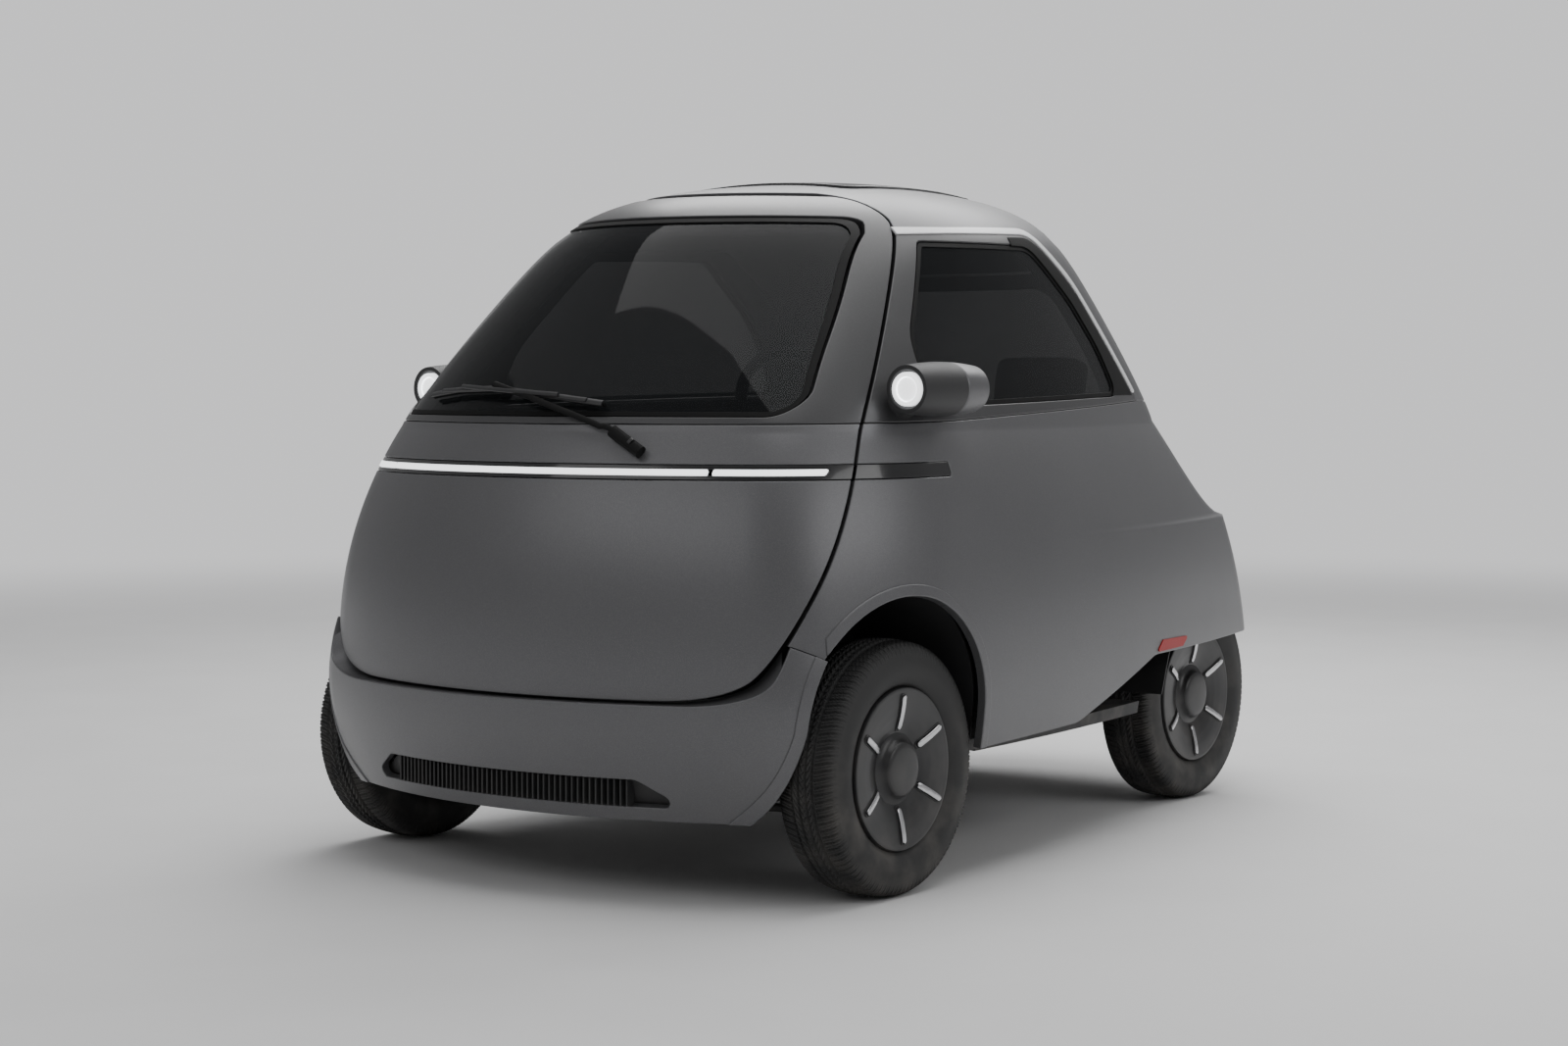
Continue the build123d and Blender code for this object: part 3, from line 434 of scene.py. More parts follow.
@dataclass
class Sheet:
    """Triangles over the body's two surface parameters."""
    uh: Array
    tris: Array
    form: Form = Form.BODY

    @classmethod
    def window(cls, u: tuple[float, float], h: tuple[float, float], step: float = 10.0,
               form: Form = Form.BODY) -> "Sheet":
        """Regular sheet over a window of both parameters, with a row on each crease of the body."""
        columns = max(8, int(abs(u[1] - u[0]) * 3600 / step))
        us = np.linspace(u[0], u[1], columns)
        inner = [m for m in (BODY.crease, BODY.belt, BODY.shoulder_h) if h[0] < m < h[1]]
        marks = [h[0]] + inner + [h[1]]
        rows = [np.linspace(a, b, max(3, int((b - a) / step)), endpoint=False)
                for a, b in zip(marks, marks[1:])]
        hs = np.concatenate(rows + [np.array([h[1]])])
        hh, uu = np.meshgrid(hs, us, indexing="ij")
        return cls(np.stack([uu.ravel(), hh.ravel()], 1), grid_tris(len(hs), columns), form)

    def clip(self, value: Array) -> "Sheet":
        """Keep the part where value is negative; new points lie where an edge passes zero."""
        inside = value < 0.0
        count = inside[self.tris].sum(1)
        keep = self.tris[count == 3]
        parts, pairs = [], []
        for wanted in (1, 2):
            rows = self.tris[count == wanted]
            odd = inside[rows] if wanted == 1 else ~inside[rows]
            shift = odd.argmax(1)
            order = (np.arange(3)[None] + shift[:, None]) % 3
            parts.append(np.take_along_axis(rows, order, axis=1))
            pairs += [parts[-1][:, [0, 1]], parts[-1][:, [0, 2]]]
        edges = np.sort(np.concatenate(pairs), axis=1)
        unique, index = np.unique(edges, axis=0, return_inverse=True)
        index = index.ravel() + len(self.uh)
        if len(unique):
            va, vb = value[unique[:, 0]], value[unique[:, 1]]
            t = np.clip(va / (va - vb), 1e-3, 1.0 - 1e-3)[:, None]
            fresh = self.uh[unique[:, 0]] * (1 - t) + self.uh[unique[:, 1]] * t
        else:
            fresh = np.zeros((0, 2))
        n1, n2 = len(parts[0]), len(parts[1])
        a1, b1, a2, b2 = np.split(index, [n1, 2 * n1, 2 * n1 + n2])
        one = np.stack([parts[0][:, 0], a1, b1], 1)
        two = np.concatenate([np.stack([a2, parts[1][:, 1], parts[1][:, 2]], 1),
                              np.stack([a2, parts[1][:, 2], b2], 1)])
        tris = np.concatenate([keep, one, two])
        used, flat = np.unique(tris, return_inverse=True)
        uh = np.concatenate([self.uh, fresh])[used]
        return Sheet(uh, flat.reshape(-1, 3), self.form)

    def trimmed(self, cuts: Sequence[Cut], edge: float) -> "Sheet":
        """The sheet after each cut in turn."""
        sheet = self
        for cut in cuts:
            sheet = sheet.clip(cut.field(BODY.points(sheet.uh, sheet.form), edge))
        return sheet

    def solid(self, thick: float, edge: float = 2.5, lift: float = 0.0, crown: int = 3) -> MeshData:
        """Closed panel: outer face, rounded edge, straight return and inner face.

        The outer face lies lift outside the body's form. At the edge a quarter round of
        radius edge turns in, in crown steps, and a straight wall runs to the inner face.
        """
        p = BODY.points(self.uh, self.form)
        n = BODY.normals(self.uh, self.form)
        _, first, back = np.unique(np.round(p, 2), axis=0, return_index=True, return_inverse=True)
        back = back.ravel()
        tris = back[self.tris]
        real = (tris[:, 0] != tris[:, 1]) & (tris[:, 1] != tris[:, 2]) & (tris[:, 2] != tris[:, 0])
        tris = tris[real]
        p, n = p[first], n[first]
        p = p + n * lift
        # faces look outward: most triangles agree with the normals, or all are turned
        face = np.cross(p[tris[:, 1]] - p[tris[:, 0]], p[tris[:, 2]] - p[tris[:, 0]])
        if (face * n[tris[:, 0]]).sum() < 0:
            tris = tris[:, ::-1]
        count = len(p)
        edges = np.concatenate([tris[:, [0, 1]], tris[:, [1, 2]], tris[:, [2, 0]]])
        pairs = np.sort(edges, axis=1)
        _, where, times = np.unique(pairs, axis=0, return_inverse=True, return_counts=True)
        rim = edges[times[where.ravel()] == 1]
        outward = np.cross(p[rim[:, 1]] - p[rim[:, 0]], n[rim[:, 0]] + n[rim[:, 1]])
        outward /= np.maximum(np.linalg.norm(outward, axis=1, keepdims=True), 1e-9)
        g = np.zeros_like(p)
        np.add.at(g, rim[:, 0], outward)
        np.add.at(g, rim[:, 1], outward)
        size = np.linalg.norm(g, axis=1, keepdims=True)
        g = g / np.maximum(size, 1e-9)
        g -= n * (g * n).sum(1, keepdims=True)
        stretch = np.clip(2.0 / np.maximum(size, 1e-9), 1.0, 1.6)
        ring_ids = np.unique(rim)
        slot = np.full(count, -1)
        slot[ring_ids] = np.arange(len(ring_ids))
        base, bn, bg = p[ring_ids], n[ring_ids], g[ring_ids] * stretch[ring_ids]
        gn = g[ring_ids]
        rings, ring_normals = [base], [bn]
        for k in range(1, crown + 1):
            angle = math.pi / 2 * k / crown
            rings.append(base + bg * edge * math.sin(angle) - bn * edge * (1.0 - math.cos(angle)))
            ring_normals.append(bn * math.cos(angle) + gn * math.sin(angle))
        rings.append(base + bg * edge - bn * thick)
        ring_normals.append(gn)
        inner = p - n * thick
        points = np.concatenate([p] + rings[1:] + [inner])
        def ring_index(k: int, ids: Array) -> Array:
            """Point numbers of boundary points on ring k."""
            return ids if k == 0 else count + (k - 1) * len(ring_ids) + slot[ids]
        all_tris, all_normals = [tris], [n[tris]]
        last = len(rings) - 1
        inner_start = count + last * len(ring_ids)
        a, b = rim[:, 0], rim[:, 1]
        for k in range(last + 1):
            if k < last:
                quad = [ring_index(k, a), ring_index(k, b), ring_index(k + 1, b),
                        ring_index(k + 1, a)]
                qn = [ring_normals[k][slot[a]], ring_normals[k][slot[b]],
                      ring_normals[k + 1][slot[b]], ring_normals[k + 1][slot[a]]]
            else:
                quad = [ring_index(k, a), ring_index(k, b), inner_start + b, inner_start + a]
                qn = [-n[a], -n[b], -n[b], -n[a]]
            for order in ((0, 3, 2), (0, 2, 1)):
                all_tris.append(np.stack([quad[i] for i in order], 1))
                all_normals.append(np.stack([qn[i] for i in order], 1))
        all_tris.append(inner_start + tris[:, ::-1])
        all_normals.append(-n[tris[:, ::-1]])
        normals = np.concatenate(all_normals).reshape(-1, 3)
        return MeshData(points, np.concatenate(all_tris), normals)


def revolve(profile: Array, columns: int = 96) -> MeshData:
    """Surface of revolution about X: profile rows are (x, radius), carried round a full circle.

    A point is (x, r cos a, r sin a). Rows on the axis close to one point.
    """
    angle = np.linspace(0.0, 2.0 * math.pi, columns, endpoint=False)
    x, r = profile[:, :1], profile[:, 1:]
    pts = np.stack([np.broadcast_to(x, (len(profile), columns)), r * np.cos(angle),
                    r * np.sin(angle)], -1)
    tris = grid_tris(len(profile), columns, close_columns=True)
    return welded(MeshData(pts.reshape(-1, 3), tris))


def welded(data: MeshData) -> MeshData:
    """The mesh with equal points joined and flat triangles dropped."""
    _, first, back = np.unique(np.round(data.points, 3), axis=0, return_index=True,
                               return_inverse=True)
    tris = back.ravel()[data.tris]
    real = (tris[:, 0] != tris[:, 1]) & (tris[:, 1] != tris[:, 2]) & (tris[:, 2] != tris[:, 0])
    return MeshData(data.points[first], tris[real])


def outward(data: MeshData) -> MeshData:
    """The closed mesh with its faces turned out: its signed volume is positive."""
    a, b, c = (data.points[data.tris[:, i]] for i in range(3))
    if np.einsum("ij,ij->i", a, np.cross(b, c)).sum() < 0.0:
        return MeshData(data.points, data.tris[:, ::-1].copy(), data.corner_normals)
    return data


def sweep(path: Array, section: Array, up: Optional[Array] = None,
          closed: bool = False) -> MeshData:
    """Closed section (n, 2) carried along a path (m, 3).

    At each path point the section's first axis lies across the path and its second along up,
    made square to the path. Open ends are closed by a fan.
    """
    m, n = len(path), len(section)
    run = np.roll(path, -1, 0) - np.roll(path, 1, 0)
    if not closed:
        run[0], run[-1] = path[1] - path[0], path[-1] - path[-2]
    run = run / np.linalg.norm(run, axis=1, keepdims=True)
    up = np.broadcast_to(np.array([0.0, 0.0, 1.0]) if up is None else up, path.shape)
    side = np.cross(run, up)
    side = side / np.maximum(np.linalg.norm(side, axis=1, keepdims=True), 1e-9)
    lift = np.cross(side, run)
    pts = path[:, None] + section[None, :, :1] * side[:, None]
    pts = pts + section[None, :, 1:] * lift[:, None]
    tris = grid_tris(m, n, close_rows=closed, close_columns=True)
    pts = pts.reshape(-1, 3)
    if not closed:
        caps = [np.stack([np.full(n, m * n), np.roll(np.arange(n), -1), np.arange(n)], 1),
                np.stack([np.full(n, m * n + 1), (m - 1) * n + np.arange(n),
                          (m - 1) * n + np.roll(np.arange(n), -1)], 1)]
        pts = np.concatenate([pts, path[:1], path[-1:]])
        tris = np.concatenate([tris] + caps)
    return outward(MeshData(pts, tris))


def round_section(width: float, height: float, power: float = 2.0, count: int = 20) -> Array:
    """Superellipse section: the points where |a|^p + |b|^p is one, scaled to width and height."""
    a = np.linspace(0.0, 2.0 * math.pi, count, endpoint=False)
    c, s = np.cos(a), np.sin(a)
    return np.stack([np.sign(c) * np.abs(c) ** (2 / power) * width / 2,
                     np.sign(s) * np.abs(s) ** (2 / power) * height / 2], 1)


def moved(data: MeshData, shift: Sequence[float], turn: Optional[Array] = None) -> MeshData:
    """The mesh turned by a matrix, then shifted."""
    pts = data.points if turn is None else data.points @ turn.T
    return MeshData(pts + np.asarray(shift, float), data.tris, data.corner_normals)


def axis_turn(axis: str, degrees: float) -> Array:
    """Rotation matrix about a row axis."""
    return np.array(Matrix.Rotation(math.radians(degrees), 3, axis))


# ---------------------------------------------------------------- finishes
DUST_COLOR = (0.23, 0.21, 0.185, 1.0)
GLOW_COLOR = (0.86, 0.86, 0.87, 1.0)    # the pale surroundings, as the camera sees them


class Tree:
    """Short way to write a node tree."""

    def __init__(self, tree: bpy.types.NodeTree) -> None:
        """Keep the tree."""
        self.tree = tree

    def add(self, kind: str, values: Optional[dict] = None, **attributes: object) -> bpy.types.Node:
        """New node with attributes set and sockets given a value or linked.

        Args:
            kind: Blender's node type.
            values: Socket name or index to a value or an output socket.
            attributes: Node properties.
        Returns:
            The node.
        """
        node = self.tree.nodes.new(kind)
        for name, value in attributes.items():
            setattr(node, name, value)
        for key, value in (values or {}).items():
            socket = node.inputs[key]
            if isinstance(value, bpy.types.NodeSocket):
                self.tree.links.new(value, socket)
            else:
                socket.default_value = value
        return node

    def math(self, operation: str, a: object, b: object = 0.0,
             clamp: bool = False) -> bpy.types.NodeSocket:
        """Output of a math node."""
        return self.add("ShaderNodeMath", {0: a, 1: b}, operation=operation,
                        use_clamp=clamp).outputs[0]

    def mix(self, share: object, a: object, b: object) -> bpy.types.NodeSocket:
        """Output of a colour mix."""
        return self.add("ShaderNodeMix", {0: share, 6: a, 7: b}, data_type="RGBA").outputs[2]

    def ramp(self, value: object, low: float, high: float, to_low: float = 0.0,
             to_high: float = 1.0) -> object:
        """Value mapped from one range to another, with a smooth ease."""
        return self.add("ShaderNodeMapRange", {0: value, 1: low, 2: high, 3: to_low, 4: to_high},
                        interpolation_type="SMOOTHSTEP").outputs[0]

    def place(self, scale: Sequence[float] = (1, 1, 1),
              turn: Sequence[float] = (0, 0, 0)) -> bpy.types.NodeSocket:
        """Object coordinates, scaled and turned."""
        here = self.add("ShaderNodeTexCoord").outputs["Object"]
        return self.add("ShaderNodeMapping", {"Vector": here, "Scale": scale,
                                              "Rotation": turn}).outputs[0]


def shader_group(name: str, inputs: dict, outputs: Sequence[str],
                 build: Callable[[Tree, bpy.types.Node], dict]) -> bpy.types.NodeTree:
    """Shared node group, built once.

    Args:
        name: Name of the group.
        inputs: Named float inputs and their first values.
        outputs: Named float outputs.
        build: Fills the tree and returns a socket for each output.
    Returns:
        The group's tree.
    """
    if name in bpy.data.node_groups:
        return bpy.data.node_groups[name]
    group = bpy.data.node_groups.new(name, "ShaderNodeTree")
    for label, value in inputs.items():
        group.interface.new_socket(label, in_out="INPUT",
                                   socket_type="NodeSocketFloat").default_value = value
    for label in outputs:
        group.interface.new_socket(label, in_out="OUTPUT", socket_type="NodeSocketFloat")
    tree = Tree(group)
    source = group.nodes.new("NodeGroupInput")
    sink = group.nodes.new("NodeGroupOutput")
    for label, socket in build(tree, source).items():
        group.links.new(socket, sink.inputs[label])
    return group


def speckle_group() -> bpy.types.NodeTree:
    """Fine speckle and a broad cloud: two noises over Object coordinates."""
    def build(t: Tree, given: bpy.types.Node) -> dict:
        here = t.place()
        fine = t.add("ShaderNodeTexNoise", {"Vector": here, "Scale": given.outputs["Fine Scale"],
                                            "Detail": 2.0})
        broad = t.add("ShaderNodeTexNoise", {"Vector": here, "Scale": given.outputs["Broad Scale"],
                                             "Detail": 4.0})
        return {"Fine": fine.outputs[0], "Broad": broad.outputs[0]}
    return shader_group("Speckle", {"Fine Scale": 900.0, "Broad Scale": 3.0}, ("Fine", "Broad"),
                        build)


def dust_group() -> bpy.types.NodeTree:
    """Road dust that thickens towards the ground: height eased, times a cloudy noise."""
    def build(t: Tree, given: bpy.types.Node) -> dict:
        here = t.place()
        z = t.add("ShaderNodeSeparateXYZ", {0: here}).outputs[2]
        low = t.ramp(t.math("DIVIDE", z, given.outputs["Top"]), 0.25, 1.0, 1.0, 0.0)
        cloud = t.add("ShaderNodeTexNoise", {"Vector": here, "Scale": 14.0,
                                             "Detail": 6.0}).outputs[0]
        patch = t.ramp(cloud, 0.35, 0.75)
        amount = t.math("MULTIPLY", t.math("MULTIPLY", low, patch), given.outputs["Amount"], True)
        return {"Mask": amount}
    return shader_group("Road Dust", {"Top": 0.5, "Amount": 0.2}, ("Mask",), build)


def grain_group() -> bpy.types.NodeTree:
    """Moulded grain: cells of a Voronoi pattern, softened by a noise."""
    def build(t: Tree, given: bpy.types.Node) -> dict:
        here = t.place()
        wobble = t.add("ShaderNodeTexNoise", {"Vector": here, "Scale": given.outputs["Scale"],
                                              "Detail": 3.0})
        cells = t.add("ShaderNodeTexVoronoi", {"Vector": here, "Scale": given.outputs["Scale"]},
                      feature="SMOOTH_F1")
        height = t.math("ADD", t.math("MULTIPLY", cells.outputs[0], 0.7),
                        t.math("MULTIPLY", wobble.outputs[0], 0.5))
        return {"Height": height, "Cloud": wobble.outputs[0]}
    return shader_group("Moulded Grain", {"Scale": 700.0}, ("Height", "Cloud"), build)


def weave_group() -> bpy.types.NodeTree:
    """Plain weave: two sets of bands at right angles that take turns on top."""
    def build(t: Tree, given: bpy.types.Node) -> dict:
        here = t.add("ShaderNodeTexCoord").outputs["Object"]
        parts = t.add("ShaderNodeSeparateXYZ", {0: here})
        across = t.math("MULTIPLY", parts.outputs[0], given.outputs["Threads"])
        along = t.math("MULTIPLY", t.math("ADD", parts.outputs[1], parts.outputs[2]),
                       given.outputs["Threads"])
        warp = t.math("ABSOLUTE", t.math("SINE", across))
        weft = t.math("ABSOLUTE", t.math("SINE", along))
        slow = [t.math("SINE", t.math("MULTIPLY", way, 0.5)) for way in (across, along)]
        turn = t.math("GREATER_THAN", t.math("MULTIPLY", *slow), 0.0)
        height = t.math("ADD", t.math("MULTIPLY", warp, turn),
                        t.math("MULTIPLY", weft, t.math("SUBTRACT", 1.0, turn)))
        return {"Height": height, "Turn": turn}
    return shader_group("Plain Weave", {"Threads": 2400.0}, ("Height", "Turn"), build)


@dataclass(frozen=True)
class Finish:
    """Base of every finish: a name, a colour and the Principled shader's plain values."""
    name: str
    color: tuple = (0.2, 0.2, 0.2)
    rough: float = 0.5
    metal: float = 0.0
    coat: float = 0.0
    coat_rough: float = 0.05
    specular: float = 0.5
    dust: float = 0.0
    dust_top: float = 0.5
    grain: float = 0.0
    grain_scale: float = 700.0
    mottle: float = 0.08

    def shader(self, tree: Tree, values: dict) -> bpy.types.Node:
        """Principled shader with its constants set and the varying sockets linked."""
        fixed = {"Metallic": self.metal, "Coat Weight": self.coat,
                 "Coat Roughness": self.coat_rough, "Specular IOR Level": self.specular}
        fixed.update(values)
        return tree.add("ShaderNodeBsdfPrincipled", fixed)

    def color_of(self, tree: Tree, share: object) -> object:
        """Base colour, lighter and darker by mottle over the surface, with dust near the ground."""
        rgb = np.array(self.color)
        low = tuple(rgb * (1 - self.mottle)) + (1.0,)
        high = tuple(np.minimum(rgb * (1 + self.mottle), 1.0)) + (1.0,)
        color = tree.mix(tree.ramp(share, 0.35, 0.65), low, high)
        if self.dust:
            mask = tree.add("ShaderNodeGroup", node_tree=dust_group())
            mask.inputs["Amount"].default_value = self.dust
            mask.inputs["Top"].default_value = self.dust_top
            color = tree.mix(mask.outputs["Mask"], color, DUST_COLOR)
        return color

    def fill(self, tree: Tree) -> bpy.types.Node:
        """Speckled colour, cloudy roughness and a moulded grain where it has one."""
        speckle = tree.add("ShaderNodeGroup", node_tree=speckle_group())
        rough = tree.ramp(speckle.outputs["Broad"], 0.3, 0.7, max(0.02, self.rough - 0.05),
                          min(1.0, self.rough + 0.06))
        values = {"Base Color": self.color_of(tree, speckle.outputs["Broad"]), "Roughness": rough}
        if self.grain:
            grain = tree.add("ShaderNodeGroup", node_tree=grain_group())
            grain.inputs["Scale"].default_value = self.grain_scale
            bump = tree.add("ShaderNodeBump", {"Height": grain.outputs["Height"],
                                               "Strength": self.grain, "Distance": 0.0006})
            values["Normal"] = bump.outputs[0]
        return self.shader(tree, values)

    def material(self) -> bpy.types.Material:
        """The material, built at its first use."""
        if self.name in bpy.data.materials:
            return bpy.data.materials[self.name]
        mat = bpy.data.materials.new(self.name)
        mat.use_nodes = True
        mat.node_tree.nodes.clear()
        tree = Tree(mat.node_tree)
        shader = self.fill(tree)
        tree.add("ShaderNodeOutputMaterial", {"Surface": shader.outputs[0]})
        mat.diffuse_color = tuple(self.color) + (1.0,)
        return mat


@dataclass(frozen=True)
class MetallicPaint(Finish):
    """Satin metallic paint: fine flakes that catch the light, under a soft clear coat."""
    flake: float = 0.35

    def fill(self, tree: Tree) -> bpy.types.Node:
        """Flakes brighten the colour and tilt the normal a little; dust dulls the sills."""
        flakes = tree.add("ShaderNodeTexVoronoi", {"Vector": tree.place(), "Scale": 1500.0})
        spark = tree.add("ShaderNodeSeparateColor", {0: flakes.outputs["Color"]}).outputs[0]
        speckle = tree.add("ShaderNodeGroup", node_tree=speckle_group())
        base = self.color_of(tree, speckle.outputs["Broad"])
        bright = tuple(np.minimum(np.array(self.color) * (1 + self.flake), 1.0)) + (1.0,)
        color = tree.mix(tree.ramp(spark, 0.55, 1.0), base, bright)
        rough = tree.ramp(speckle.outputs["Broad"], 0.3, 0.7, self.rough - 0.02, self.rough + 0.03)
        bump = tree.add("ShaderNodeBump", {"Height": spark, "Strength": 0.06, "Distance": 0.0002})
        return self.shader(tree, {"Base Color": color, "Roughness": rough,
                                  "Normal": bump.outputs[0]})


@dataclass(frozen=True)
class TintedGlass(Finish):
    """Tinted safety glass: clear in transmission, dark, with a clean gloss."""
    see_through: float = 0.32

    def fill(self, tree: Tree) -> bpy.types.Node:
        """Glass as a dark gloss skin whose alpha lets the cabin show."""
        speckle = tree.add("ShaderNodeGroup", node_tree=speckle_group())
        rough = tree.ramp(speckle.outputs["Broad"], 0.3, 0.7, 0.015, 0.035)
        alpha = tree.ramp(speckle.outputs["Broad"], 0.2, 0.8, 0.985 - self.see_through,
                          1.0 - self.see_through)
        return self.shader(tree, {"Base Color": self.color_of(tree, speckle.outputs["Broad"]),
                                  "Roughness": rough, "Alpha": alpha})


@dataclass(frozen=True)
class LitLens(Finish):
    """Light guide that glows by itself, a little unevenly along its length."""
    strength: float = 1.2

    def fill(self, tree: Tree) -> bpy.types.Node:
        """Emission whose colour varies with the broad noise."""
        speckle = tree.add("ShaderNodeGroup", node_tree=speckle_group())
        glow = tree.mix(speckle.outputs["Broad"], (0.93, 0.96, 1.0, 1.0), (1.0, 1.0, 1.0, 1.0))
        rough = tree.ramp(speckle.outputs["Fine"], 0.3, 0.7, 0.2, 0.3)
        return self.shader(tree, {"Base Color": glow, "Roughness": rough, "Emission Color": glow,
                                  "Emission Strength": self.strength})


@dataclass(frozen=True)
class PaleFloor(Finish):
    """Floor that fades into the pale surroundings, so that no horizon shows."""
    near: float = 4.5
    far: float = 11.0

    def fill(self, tree: Tree) -> bpy.types.Node:
        """Plain diffuse floor near the car; the distance from the middle mixes in an even glow."""
        base = super().fill(tree)
        parts = tree.add("ShaderNodeSeparateXYZ", {0: tree.place()})
        sides = (parts.outputs[0], parts.outputs[1])
        squares = [tree.math("POWER", tree.math("ABSOLUTE", side), 2.0) for side in sides]
        away = tree.math("SQRT", tree.math("ADD", *squares))
        glow = tree.add("ShaderNodeEmission", {"Color": GLOW_COLOR, "Strength": 1.0})
        return tree.add("ShaderNodeMixShader", {0: tree.ramp(away, self.near, self.far),
                                                1: base.outputs[0], 2: glow.outputs[0]})


@dataclass(frozen=True)
class WovenCloth(Finish):
    """Woven seat cloth with a soft sheen."""
    threads: float = 2400.0

    def fill(self, tree: Tree) -> bpy.types.Node:
        """The weave sets the height, and its turns shade the colour."""
        weave = tree.add("ShaderNodeGroup", node_tree=weave_group())
        weave.inputs["Threads"].default_value = self.threads
        speckle = tree.add("ShaderNodeGroup", node_tree=speckle_group())
        rgb = np.array(self.color)
        color = tree.mix(weave.outputs["Turn"], tuple(rgb * 0.93) + (1.0,),
                         tuple(np.minimum(rgb * 1.07, 1.0)) + (1.0,))
        rough = tree.ramp(speckle.outputs["Broad"], 0.3, 0.7, 0.8, 0.95)
        bump = tree.add("ShaderNodeBump", {"Height": weave.outputs["Height"], "Strength": 0.12,
                                           "Distance": 0.0005})
        return self.shader(tree, {"Base Color": color, "Roughness": rough,
                                  "Normal": bump.outputs[0], "Sheen Weight": 0.35,
                                  "Sheen Roughness": 0.4})


PAINT = MetallicPaint("Satin Grey Paint", (0.125, 0.125, 0.13), 0.40, 0.55, 0.22, 0.3, dust=0.08,
                      dust_top=0.5, mottle=0.02)
DARK_PAINT = MetallicPaint("Anthracite Paint", (0.055, 0.055, 0.057), 0.38, 0.35, 0.25, 0.25,
                           mottle=0.03, flake=0.3)
DARK_TRIM = Finish("Dark Moulded Trim", (0.022, 0.022, 0.023), 0.5, grain=0.25, grain_scale=900.0,
                   dust=0.08)
BLACK_GLOSS = Finish("Black Gloss Panel", (0.008, 0.008, 0.009), 0.12, coat=0.6, mottle=0.1)
TINTED = TintedGlass("Tinted Glass", (0.012, 0.013, 0.014), 0.04, specular=0.16)
LIT = LitLens("Lit Light Guide", (1.0, 1.0, 1.0), 0.2, strength=1.6)
RED_LENS = Finish("Red Reflector", (0.36, 0.01, 0.01), 0.4, specular=0.25, grain=0.3,
                  grain_scale=420.0)
BRIGHT = Finish("Satin Bright Strip", (0.86, 0.86, 0.87), 0.38, 0.25, mottle=0.02)
CHROME = Finish("Bright Trim", (0.82, 0.82, 0.83), 0.1, 1.0, mottle=0.02)
SILVER = Finish("Satin Silver Insert", (0.62, 0.62, 0.63), 0.24, 1.0, mottle=0.03)
RUBBER = Finish("Tyre Rubber", (0.020, 0.020, 0.020), 0.62, grain=0.35, grain_scale=500.0,
                dust=0.22, dust_top=0.45, mottle=0.18)
SEAL = Finish("Soft Seal", (0.006, 0.006, 0.006), 0.6, specular=0.15, grain=0.15)
WHEEL_BLACK = Finish("Satin Black Disc", (0.014, 0.014, 0.015), 0.38, coat=0.15, coat_rough=0.3,
                     dust=0.12, dust_top=0.5, grain=0.08)
STEEL = Finish("Forged Steel", (0.21, 0.21, 0.215), 0.42, 0.9, grain=0.2, dust=0.3, mottle=0.12)
CHASSIS = Finish("Chassis Coating", (0.018, 0.018, 0.019), 0.6, grain=0.4, grain_scale=300.0,
                 dust=0.4, dust_top=0.5)
MIRROR = Finish("Mirror Glass", (0.9, 0.9, 0.92), 0.02, 1.0, mottle=0.01)
CLOTH = WovenCloth("Woven Bench Cloth", (0.030, 0.030, 0.033), 0.85)
LEATHER = Finish("Grained Wheel Leather", (0.018, 0.018, 0.019), 0.5, grain=0.6, grain_scale=650.0)


# ---------------------------------------------------------------- assemblies
def show(name: str, data: MeshData, finish: Finish, body: str, replaces: Sequence[str] = (),
         sharp: float = 35.0) -> bpy.types.Object:
    """Write a piece, dress it, tie it to its body and hide the nodes that it stands for.

    Args:
        name: Piece name.
        data: Its mesh, in millimetres.
        finish: Its finish.
        body: The CAD body that it rides on.
        replaces: CAD nodes that it stands for.
        sharp: Angle over which an edge stays sharp.
    Returns:
        The object.
    """
    obj = write_mesh(name, data, sharp)
    obj.data.materials.append(finish.material())
    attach(obj, body)
    if replaces:
        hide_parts(*replaces)
    LOG.info("piece %s: %d triangles", name, len(data.tris))
    return obj


